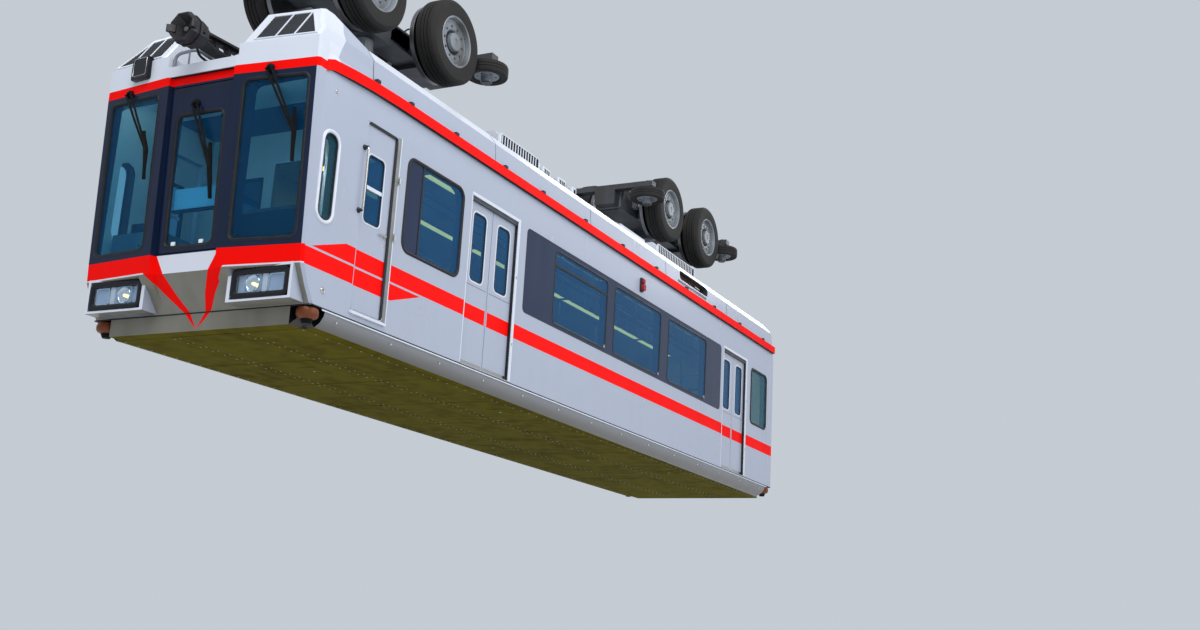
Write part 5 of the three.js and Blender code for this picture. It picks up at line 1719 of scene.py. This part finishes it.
# %% Bogie frames
for bogie in ("front", "rear"):
    node = f"bogie_frame_{bogie}"
    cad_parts[node].material_slots[0].material = gear_enamel
    middle = Vector((middle_of(node)[0].x, 0, 0))
    form = bmesh.new()
    for end in (1, -1):
        motor = lambda a, b, c: middle + Vector((end * a, b, c))
        in_row(form, 0, brick, gear_enamel, 13, motor(0.93, 0, 0.702), (end * 0.034, 0, 0),
               (8 * mm, 0.42, 16 * mm))
        for s in (1, -1):
            in_row(form, 0, brick, gear_enamel, 13, motor(0.93, s * 0.236, 0.52), (end * 0.034, 0, 0),
                   (8 * mm, 16 * mm, 0.30))
            cover = lambda a, b, d=0.0, s=s, end=end: middle + Vector((a, s * (0.171 + d), b))
            plate(form, cover, 0.22, 0.62, 0.41, 0.59, 20, 0, 7, 1)
            plate(form, cover, -0.62, -0.22, 0.41, 0.59, 20, 0, 7, 1)
            for a in (-0.60, 0.24):
                for b in (0.43, 0.57):
                    in_row(form, 2, bolt, machined, 4, cover(a, b, 9 * mm), (0.12, 0, 0), 8 * mm,
                           (quarter, 0, 0))
            caliper = middle + Vector((end * 1.085, s * 0.275, 0.52))
            block(form, caliper - Vector((0.05, 0.035, 0.075)), caliper + Vector((0.05, 0.035, 0.075)),
                  1)
            hose = bent([motor(0.55, s * 0.12, 0.622), motor(0.60, s * 0.16, 0.70),
                motor(0.86, s * 0.20, 0.73), motor(0.99, s * 0.235, 0.715), motor(1.04, s * 0.262,
                0.60)], 0.05)
            tube(form, hose, 10 * mm, 10, 3)
            in_row(form, 2, bolt, machined, 3, motor(1.50, s * 0.60, 0.683), (end * 0.04, 0, 0),
                   11 * mm)
            turned(form, in_mm((0, 0), (55, 0), (50, 14), (30, 17), (28, 26), (0, 27)),
                   motor(1.54, s * 0.69, 0.679), (0, 0, 1), 24, 2)
        plate(form, lambda a, b, d=0.0, end=end: middle + Vector((end * (1.431 + d), a, b)), -0.20,
              0.20, 0.36, 0.67, 50, 0, 12, 1, 4)
        in_ring(form, 2, bolt, machined, 8, middle + Vector((end * 1.446, 0, 0.515)), 0.13, 10 * mm,
                turn=(0, quarter, 0), tilt=(0, quarter, 0))
        for y in (-0.56, 0.56):
            plate(form, lambda a, b, d=0.0, end=end,
                  y=y: middle + Vector((end * 1.54 + a, y + b, 0.680 + d)), -0.062, 0.062, -0.09, 0.09,
                  12, 0, 5, 1)
    finished(f"{node}_details", form, [gear_enamel, steel_enamel, machined, seal_rubber],
        f"bogie_{bogie}", bevel=1.5 * mm)
print("bogie frames fitted")

# %% [markdown]
# Between bogie and car comes the hanger: a yoke on the roof that cradles two air springs, with
# the king pin rising between them. An air spring is a rubber bellows with rounded folds, turned
# here from a wavy profile, between two steel plates.

# %% Hangers
spring_foot, spring_head = -0.748, -0.502
fold_steps = 24
for bogie in ("front", "rear"):
    node = f"hanger_{bogie}"
    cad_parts[node].material_slots[0].material = steel_enamel
    middle, _, pin_top = middle_of(node)
    x = middle.x
    form = bmesh.new()
    for s in (1, -1):
        centre = Vector((x, s * 0.33, 0))
        folds = [(0, spring_foot)]
        for i in range(fold_steps + 1):
            t = i / fold_steps
            folds.append((0.160 + 0.016 * math.cos(t * 6 * math.pi + math.pi),
                spring_foot + 0.018 + (spring_head - spring_foot - 0.036) * t))
        turned(form, [*folds, (0, spring_head)], centre, (0, 0, 1), 48, 0)
        for z in (spring_foot - 2 * mm, spring_head - 14 * mm):
            turned(form, [(0, z), (0.168, z), (0.168, z + 14 * mm), (0, z + 14 * mm)], centre,
                   (0, 0, 1), 40, 1)
        in_ring(form, 2, bolt, machined, 10, centre + Vector((0, 0, -0.409)), 0.120, 10 * mm)
        for end in (1, -1):
            for y in (0.505, 0.695):
                in_row(form, 2, bolt, machined, 3, (x + end * 0.27, s * y, seam + 2.5385),
                       (-end * 0.055, 0, 0), 13 * mm)
            gusset = lambda a, b, d=0.0: Vector((x + end * (0.20 - d), s * a, seam + b))
            prism(form, gusset, [(0.617, 2.532), (0.700, 2.532), (0.617, 2.68)], -2 * mm, 10 * mm, 3)
        in_row(form, 3, brick, steel_enamel, 3, (x - 0.12, s * 0.617, -0.62), (0.12, 0, 0),
               (14 * mm, 8 * mm, 0.30))
    in_ring(form, 2, bolt, machined, 8, (x, 0, pin_top + 1 * mm), 0.115, 14 * mm)
    turned(form, in_mm((0, 0), (50, 0), (50, 16), (40, 20), (0, 20)),
           (x, 0, pin_top - 2 * mm), (0, 0, 1), 6, 2)
    damper = [Vector((x + 0.16, -0.46, -0.80)), Vector((x + 0.16, 0.46, -0.44))]
    rod(form, damper[0], damper[0].lerp(damper[1], 0.55), 30 * mm, 20, 3)
    rod(form, *damper, 17 * mm, 16, 2)
    finished(f"{node}_details", form, [seal_rubber, steel_enamel, machined, steel_enamel],
        bevel=1 * mm)
print("hangers done")

# %% [markdown]
# A cast urethane roller stands out at each lower corner and keeps the body off whatever it
# passes. It is a squat barrel with a rounded shoulder, turned round its own pin.

# %% Corner rollers
for end in ("front", "rear"):
    for name, s in sides.items():
        node = f"roller_{end}_{name}"
        centre, z0, z1 = middle_of(node)
        centre.z = 0
        bore = 20.5 * mm
        barrel = [(bore, z0 + 1 * mm), (0.062, z0 + 1 * mm), (0.088, z0 + 12 * mm),
            (0.101, z0 + 28 * mm), (0.1045, z0 + 46 * mm), (0.1045, z0 + 74 * mm),
            (0.100, z0 + 88 * mm), (0.094, z1 - 10 * mm), (0.060, z1 - 8 * mm), (0.056, z1 - 1 * mm),
            (bore, z1 - 1 * mm)]
        form = bmesh.new()
        hollow_turned(form, barrel, centre, (0, 0, 1), 56, 0)
        finished(f"{node}_turned", form, [amber_urethane], node, stands_for=(node,),
            crease=30)
print("rollers turned")

# %% [markdown]
# The rear end is plain: a flat painted wall, a steel door with a window, handrails on both sides
# of it, a red marker lamp high in each corner, two sockets, and the short drawbar above.

# %% Rear end
rear_on = lambda y, h, out=0.0: Vector((rear_end - out, y, seam + h))


def paint_rear(middle, normal):
    if abs(normal.x) <= 0.5:
        return seal_rubber
    return body_enamel if normal.x < 0 else cream_laminate


for node, body in (("rear_wall", "root"), ("end_door", "end_door")):
    skin(node, f"{node}_skin", [body_enamel, cream_laminate, seal_rubber], paint_rear,
         body=body)
form = bmesh.new()
opening = rounded(-0.350, 0.350, 0.012, 1.957, 0.012, 3)
bead(form, rear_on, opening, soft_section(2, 40, -4, 12), 0)
for s in (1, -1):
    rail = in_mm((1600, -3), (1600, 60), (750, 60), (750, -3))
    tube(form, bent([rear_on(s * 0.46, h, out) for h, out in rail], 0.035), 13 * mm, 14, 1)
    for h in (1.60, 0.75):
        turned(form, in_mm((0, -1), (30, -1), (30, 6), (0, 8)),
               rear_on(s * 0.46, h), (-1, 0, 0), 20, 1)
    plate(form, rear_on, s * 0.95 - 0.11, s * 0.95 + 0.11, 2.02, 2.14, 30, 0, 20, 2, 4)
    plate(form, rear_on, s * 0.95 - 0.09, s * 0.95 + 0.09, 2.035, 2.125, 25, 18, 34, 3, 4)
    turned(form, in_mm((0, 0), (62, 0), (62, 20), (48, 24), (44, 55), (0, 58)), rear_on(s * 0.80, 0.42),
           (-1, 0, 0), 28, 2)
    in_ring(form, 1, bolt, machined, 4, rear_on(s * 0.80, 0.42, 22 * mm), 52 * mm, 7 * mm,
            turn=(0, -quarter, 0), tilt=(0, quarter, 0))
plate(form, rear_on, -0.42, 0.42, -0.045, -0.008, 6, 0, 55, 4)
finished("rear_end_fittings", form, [white_enamel, stainless, grained_plastic, red_lens, aluminium],
    bevel=1.2 * mm)
door_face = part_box("end_door")[0].x + 9 * mm
end_on = lambda y, h, out=0.0: Vector((door_face - out, y, seam + h))
end_window = rounded(-0.220, 0.220, 1.000, 1.700, 0.06)
form = bmesh.new()
prism(form, end_on, grown(end_window, -2 * mm), -26 * mm, -18 * mm, 0)
bead(form, end_on, end_window, soft_section(-14, 16, -14, 8), 1)
bead(form, end_on, end_window, soft_section(-14, 16, -49, -34), 1)
turned(form, in_mm((0, -2), (30, -2), (30, 5), (14, 8), (12, 9), (0, 9)), end_on(0.28, 0.95),
       (-1, 0, 0), 20, 2)
finished("end_door_fittings", form, [window_glass, seal_rubber, stainless], "end_door",
    bevel=0.8 * mm)

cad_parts["drawbar_rear"].material_slots[0].material = cast_iron
form = bmesh.new()
for s in (1, -1):
    turned(form, in_mm((0, 0), (55, 0), (55, 12), (40, 20), (0, 22)),
           (rear_end - 0.19, s * 0.07, seam + 2.615), (0, s, 0), 28, 0)
    in_row(form, 0, bolt, machined, 3, (rear_end + 0.08, s * 0.045, seam + 2.69), (0.075, 0, 0),
           12 * mm)
hollow_turned(form, in_mm((35, 0), (60, 0), (62, 8), (35, 10)), (rear_end - 0.250, 0, seam + 2.615),
    (-1, 0, 0), 28, 0)
finished("drawbar_details", form, [machined], bevel=1 * mm)
print("rear end done")

# %% [markdown]
# Through the tinted glass one sees bright tubes along the ceiling, straps and poles. The ceiling
# lamps are long diffusers in slim aluminium frames. They also light the saloon, so the windows
# don't look like holes.

# %% Saloon lamps
form = bmesh.new()
ceiling_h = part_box("roof")[0].z - seam
ceiling_at = lambda back, y, d=0.0: ahead_at(-back, y, ceiling_h - d)
saloon_start = 1.62
lamp_long, lamp_pitch = 1.24, 1.345
for y in (-0.52, 0.52):
    for i in range(8):
        a = saloon_start + i * lamp_pitch
        diffuser = rounded(a, a + lamp_long, y - 0.052, y + 0.052, 0.02, 3)
        prism(form, ceiling_at, diffuser, 1 * mm, 22 * mm, 0)
        bead(form, ceiling_at, diffuser, in_mm((0, 1), (0, 26), (14, 26), (20, 1)), 1)
for y in (-0.60, 0.60):
    plate(form, ceiling_at, 0.02, 0.12, y - 0.45, y + 0.45, 20, 1, 20, 4)
plate(form, ceiling_at, saloon_start, 12.30, -0.16, 0.16, 30, 1, 12, 2)
for y in (-0.09, 0.09):
    in_row(form, 3, brick, grained_plastic, 110, ceiling_at(1.80, y, 13 * mm), (-0.095, 0, 0),
           (70 * mm, 30 * mm, 3 * mm))
finished("ceiling_lamps", form, [tube_light, aluminium, aluminium, grained_plastic, cab_light],
    bevel=1 * mm)
print("ceiling lamps", 2 * 8)

# %% Grab rails and straps
form = bmesh.new()
rail_h, rail_y, post_y = 1.905, 0.640, 0.765
for s in (1, -1):
    rod(form, ahead_at(-4.15, s * rail_y, rail_h), ahead_at(-9.85, s * rail_y, rail_h), 15 * mm, 16)
    for back in (4.20, 5.6, 7.0, 8.4, 9.80):
        rod(form, ahead_at(-back, s * rail_y, rail_h), ceiling_at(back, s * rail_y, 2 * mm), 12 * mm,
            14)
        turned(form, in_mm((0, 0), (32, 0), (30, 8), (0, 10)),
               ceiling_at(back, s * rail_y, 1 * mm), (0, 0, -1), 20)
    for back in (4.12, 9.88):
        rod(form, ahead_at(-back, s * post_y, 2 * mm), ceiling_at(back, s * post_y, 2 * mm), 16 * mm,
            18)
        for h, way in ((1 * mm, 1), (ceiling_h - 1 * mm, -1)):
            turned(form, in_mm((0, 0), (38, 0), (36, 9), (0, 12)),
                   ahead_at(-back, s * post_y, h), (0, 0, way), 22)
finished("grab_rails", form, [stainless])


def strap(form):
    bar(form, (0, 0, 0.016), (0, 0, -0.16), 0.026, 0.004, (0, 1, 0))
    handle = bent([(0, 0, -0.15), (-0.052, 0, -0.235), (0.052, 0, -0.235), (0, 0, -0.15)], 0.015, 3)
    tube(form, handle, 7 * mm, 8)


strap_part = small_part("hanging_strap", strap)
form = bmesh.new()
for s in (1, -1):
    in_row(form, 0, strap_part, sign_acrylic, 16, ahead_at(-4.38, s * rail_y, rail_h), (-0.345, 0, 0))
finished("hanging_straps", form, [sign_acrylic], crease=40)
print("saloon fitted")

# %% [markdown]
# The benches run along both walls between the doors. Each is a steel heater box with slotted
# cover, and six upholstered places with separate backs. A cushion is foam under moquette, crowned
# by the foam's pressure while its welted seam holds the edge in. One seat cushion and one back
# are blown up by the cloth solver, a few millimetres only, and then copied along the bench.

# %% Moquette and vinyl


def moquette(name, pile, ground):
    """Cut-pile moquette: two dyed yarns in a fine check. Real 1.5 mm rows are drawn 6 mm wide."""
    material, tree = start_material(name)
    place = add(tree, "ShaderNodeTexCoord").outputs["Object"]
    rows = add(tree, "ShaderNodeTexWave", {
        "Vector": place, "Scale": scale_of(6) / 20, "Distortion": 1.5, "Detail": 2},
        bands_direction="X")
    check = add(tree, "ShaderNodeTexVoronoi", {"Vector": place, "Scale": scale_of(28)},
        distance="CHEBYCHEV")
    mixed = add(tree, "ShaderNodeMath", {0: rows.outputs["Fac"], 1: check.outputs["Distance"]},
        operation="MULTIPLY")
    dye = add(tree, "ShaderNodeMapRange", {"Value": mixed.outputs[0], "From Max": 0.5})
    colour = add(tree, "ShaderNodeMix", {
        "Factor": dye.outputs[0], "A": linear(pile), "B": linear(ground)}, data_type="RGBA")
    nap = add(tree, "ShaderNodeTexNoise", {"Vector": place, "Scale": scale_of(5), "Detail": 3})
    bump = add(tree, "ShaderNodeBump", {
        "Height": nap.outputs["Fac"], "Strength": 0.5, "Distance": 1 * mm})
    shader = add(tree, "ShaderNodeBsdfPrincipled", {
        "Base Color": colour.outputs["Result"], "Roughness": 0.9, "Normal": bump.outputs["Normal"],
        "Sheen Weight": 0.5, "Sheen Roughness": 0.5})
    add(tree, "ShaderNodeOutputMaterial", {"Surface": shader.outputs["BSDF"]})
    return material


seat_moquette = moquette("wine_red_seat_moquette", "#6A2230", "#8C4650")
print("moquette mixed")

# %% One cushion and one back, blown up
place_length = 0.892
pad_voxel = 14 * mm
cloth_frames = 20


def blown(name, outline, cap):
    """A closed pad from its cross-section, remeshed, swollen by the cloth solver and capped."""
    form = bmesh.new()
    along = lambda a, b, d: Vector((d, a, b))
    prism(form, along, outline, -place_length / 2, place_length / 2)
    bmesh.ops.recalc_face_normals(form, faces=form.faces)
    mesh = bpy.data.meshes.new(name)
    form.to_mesh(mesh)
    form.free()
    pad = bpy.data.objects.new(name, mesh)
    scene.collection.objects.link(pad)
    soft = pad.modifiers.new("rounded_foam", "BEVEL")
    soft.width, soft.segments = 22 * mm, 4
    voxels = pad.modifiers.new("even_faces", "REMESH")
    voxels.mode, voxels.voxel_size = "VOXEL", pad_voxel
    started = evaluated_mesh(pad)
    pad.modifiers.clear()
    pad.data = started
    cloth = pad.modifiers.new("air", "CLOTH")
    cloth.settings.use_pressure = True
    cloth.settings.uniform_pressure_force = 4
    cloth.settings.effector_weights.gravity = 0
    cloth.settings.quality = 5
    cloth.point_cache.frame_start, cloth.point_cache.frame_end = 1, cloth_frames
    for frame_number in range(1, cloth_frames + 1):
        scene.frame_set(frame_number)
    swollen = evaluated_mesh(pad)
    pad.modifiers.clear()
    scene.frame_set(1)
    for vert, moved in zip(started.vertices, swollen.vertices):
        shift = moved.co - vert.co
        if shift.length > cap:
            shift *= cap / shift.length
        vert.co += shift
    bpy.data.meshes.remove(swollen)
    print(name, "faces", len(started.polygons))
    return pad


def evaluated_mesh(thing):
    bpy.context.view_layer.update()
    graph = bpy.context.evaluated_depsgraph_get()
    return bpy.data.meshes.new_from_object(thing.evaluated_get(graph))


seat_pad = blown("seat_pad", [(0.790, 0.352), (1.096, 0.352), (1.100, 0.424), (0.800, 0.424)], 9 * mm)
back_pad = blown("back_pad", [(1.127, 0.452), (1.206, 0.452), (1.206, 0.846), (1.164, 0.846)], 8 * mm)

# %% [markdown]
# The pads are copied along both benches, and a piping cord follows each cushion's widest line,
# found on the blown mesh itself so that the cord always lies on the cloth.

# %% Benches
places = 6
place_pitch = 0.9
welt_heights = (0.376, 0.400)


def welt(form, mesh, shift, s):
    """A piping cord that follows the cushion's own widest line."""
    ring = [v.co for v in mesh.vertices if welt_heights[0] < v.co.z < welt_heights[1]]
    middle = sum(ring, Vector()) / len(ring)
    slots = {}
    for co in ring:
        angle = round(math.atan2(co.y - middle.y, (co.x - middle.x) * 0.4) / (2 * math.pi) * 40)
        reach_out = math.hypot((co.x - middle.x) * 0.4, co.y - middle.y)
        if reach_out > slots.get(angle, (0, None))[0]:
            slots[angle] = (reach_out, co)
    path = [slots[k][1] for k in sorted(slots)]
    path = [Vector((shift + p.x, s * p.y, seam + p.z)) for p in [*path, path[0], path[1]]]
    tube(form, path, 4.5 * mm, 8, 1)


bench = extent("seat_left")[0]
for name, s in sides.items():
    wall_at = lambda a, b, d=0.0: ahead_at(-d, s * a, b)
    form = bmesh.new()
    shell = [(1.2145, 0.001), (0.862, 0.001), (0.853, 0.330), (0.776, 0.350), (1.2145, 0.350)]
    back_plate = [(1.2145, 0.350), (1.2145, 0.859), (1.2085, 0.859), (1.2085, 0.350)]
    for outline in (shell, back_plate):
        prism(form, wall_at, outline, bench[1] - 1 * mm, bench[0] + 1 * mm, 0)
    grille = lambda back, h, d=0.0: ahead_at(-back, s * (0.8625 - 0.0272 * h - d), h)
    for i in range(places):
        a = bench[0] + 0.004 + i * place_pitch
        plate(form, grille, a + 0.06, a + 0.83, 0.06, 0.27, 20, -1, 3, 1)
        in_row(form, 2, brick, grained_plastic, 30, grille(a + 0.10, 0.165, 3 * mm), (-0.0238, 0, 0),
               (9 * mm, 3 * mm, 0.15))
    for back in (bench[0] + 0.012, bench[1] - 0.012):
        bench_end = lambda a, b, d=0.0: ahead_at(d - back, s * a, b)
        plate(form, bench_end, 0.786, 1.2145, 0.005, 1.02, 80, -11, 11, 0, 5)
    finished(f"bench_{name}", form, [steel_enamel, aluminium, grained_plastic],
        stands_for=(f"seat_{name}",), bevel=1.2 * mm)
    for label, pad in (("cushions", seat_pad), ("backs", back_pad)):
        form = bmesh.new()
        for i in range(places):
            shift = nose - (bench[0] + place_pitch / 2 + i * place_pitch)
            copy = pad.data.copy()
            copy.transform(Matrix.Translation((shift, 0, seam)) @ Matrix.Diagonal((1, s, 1, 1)))
            put(form, copy, 0)
            if label == "cushions":
                welt(form, pad.data, shift, s)
        piece = finished(f"bench_{label}_{name}", form, [seat_moquette, grained_plastic],
            crease=60)
for pad in (seat_pad, back_pad):
    bpy.data.objects.remove(pad)
print("benches upholstered")

# %% [markdown]
# The driver sits on the left behind a moulded desk. Its sloping top has round gauges, a screen,
# rows of switches and the master lever. A cabinet stands on the other side, and the bulkhead
# behind has two windows in rubber.

# %% Cab
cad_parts["driver_desk"].material_slots[0].material = grained_plastic
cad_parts["cab_bulkhead"].material_slots[0].material = cream_laminate
desk_top = Vector((0.370, 0, 0.160)).normalized()
desk_out = Vector((-0.160, 0, 0.370)).normalized()
desk_edge = ahead_at(-0.560, 0, 0.800)
desk_on = lambda along, y, d=0.0: desk_edge + desk_top * along + Vector((0, y, 0)) + desk_out * d
form = bmesh.new()
plate(form, desk_on, 0.02, 0.385, 0.455, 1.165, 30, 0, 6, 0, 4)
for y in (0.60, 0.76):
    turned(form, in_mm((0, 2), (62, 2), (62, 15), (54, 18), (52, 12), (0, 12)),
           desk_on(0.29, y), desk_out, 32, 1)
    turned(form, in_mm((0, 11), (50, 11), (50, 13), (0, 13)), desk_on(0.29, y), desk_out, 32, 2)
    bar(form, desk_on(0.275, y - 0.02, 15 * mm), desk_on(0.315, y + 0.024, 15 * mm), 4 * mm, 1.5 * mm,
        desk_out, 3)
plate(form, desk_on, 0.17, 0.36, 0.86, 1.12, 15, 5, 20, 1)
plate(form, desk_on, 0.185, 0.345, 0.875, 1.105, 10, 19, 21, 4)
key_pitch, key_size, key_turn = (0, 0.036, 0), (20 * mm, 18 * mm, 12 * mm), (0, -0.408, 0)
in_row(form, 2, brick, white_enamel, 9, desk_on(0.09, 0.55, 10 * mm), key_pitch, key_size, key_turn)
in_row(form, 5, brick, red_enamel, 3, desk_on(0.15, 0.55, 10 * mm), key_pitch, key_size, key_turn)
rod(form, desk_on(0.12, 0.96, 0), desk_on(0.12, 0.96, 0.11), 9 * mm, 14, 3)
turned(form, in_mm((0, 0), (14, 2), (21, 16), (18, 32), (8, 40), (0, 41)),
       desk_on(0.12, 0.96, 0.10), desk_out, 24, 1)
floor_on = lambda a, b, d=0.0: ahead_at(-a, b, d)
plate(form, floor_on, 0.80, 1.18, 0.37, 0.73, 60, 440, 500, 1, 5)
plate(form, lambda a, b, d=0.0: ahead_at(-1.20 - 0.12 * (b - 0.5) - d, a, b), 0.38, 0.72, 0.53, 1.04,
      90, 0, 50, 1, 5)
rod(form, floor_on(0.99, 0.55, 2 * mm), floor_on(0.99, 0.55, 0.45), 38 * mm, 24, 3)
turned(form, in_mm((0, 1), (170, 1), (150, 20), (50, 35), (0, 36)),
       floor_on(0.99, 0.55), (0, 0, 1), 32, 3)
plate(form, floor_on, 0.130, 0.560, -1.180, -0.560, 20, 2, 840, 6)
face_on = lambda a, b, d=0.0: ahead_at(-0.560 - d, a, b)
for y in (-1.165, -0.868):
    plate(form, face_on, y, y + 0.290, 0.05, 0.80, 15, 0, 8, 6)
    plate(form, face_on, y + 0.245, y + 0.262, 0.40, 0.52, 6, 7, 20, 3)
plate(form, floor_on, 0.20, 0.40, -1.02, -0.78, 20, 838, 960, 1)
finished("cab_fittings", form, [grained_plastic, bezel_plastic, sign_acrylic, stainless, screen_glass,
    red_enamel, steel_enamel], bevel=2 * mm)
print("desk, seat and cabinet placed")

# %% Cab bulkhead
bulkhead = extent("cab_bulkhead")[0][0]
bulkhead_on = lambda y, h, d=0.0: ahead_at(d - bulkhead, y, h)
form = bmesh.new()
doorway = rounded(-0.330, 0.330, 0.004, 1.950, 0.01, 2)
bead(form, bulkhead_on, doorway, in_mm((-4, -46), (-4, 6), (34, 6), (34, 0), (0, 0), (0, -40),
    (34, -40), (34, -46)), 2)
for s in (1, -1):
    outline = rounded(*sorted((s * 0.48, s * 1.08)), 0.980, 1.800, 0.01, 2)
    prism(form, bulkhead_on, grown(outline, -3 * mm), -24 * mm, -16 * mm, 0)
    bead(form, bulkhead_on, outline, soft_section(-12, 18, -4, 8), 1)
    bead(form, bulkhead_on, outline, soft_section(-12, 18, -48, -36), 1)
finished("bulkhead_glazing", form, [window_glass, seal_rubber, aluminium],
    bevel=0.8 * mm)
print("cab fitted")
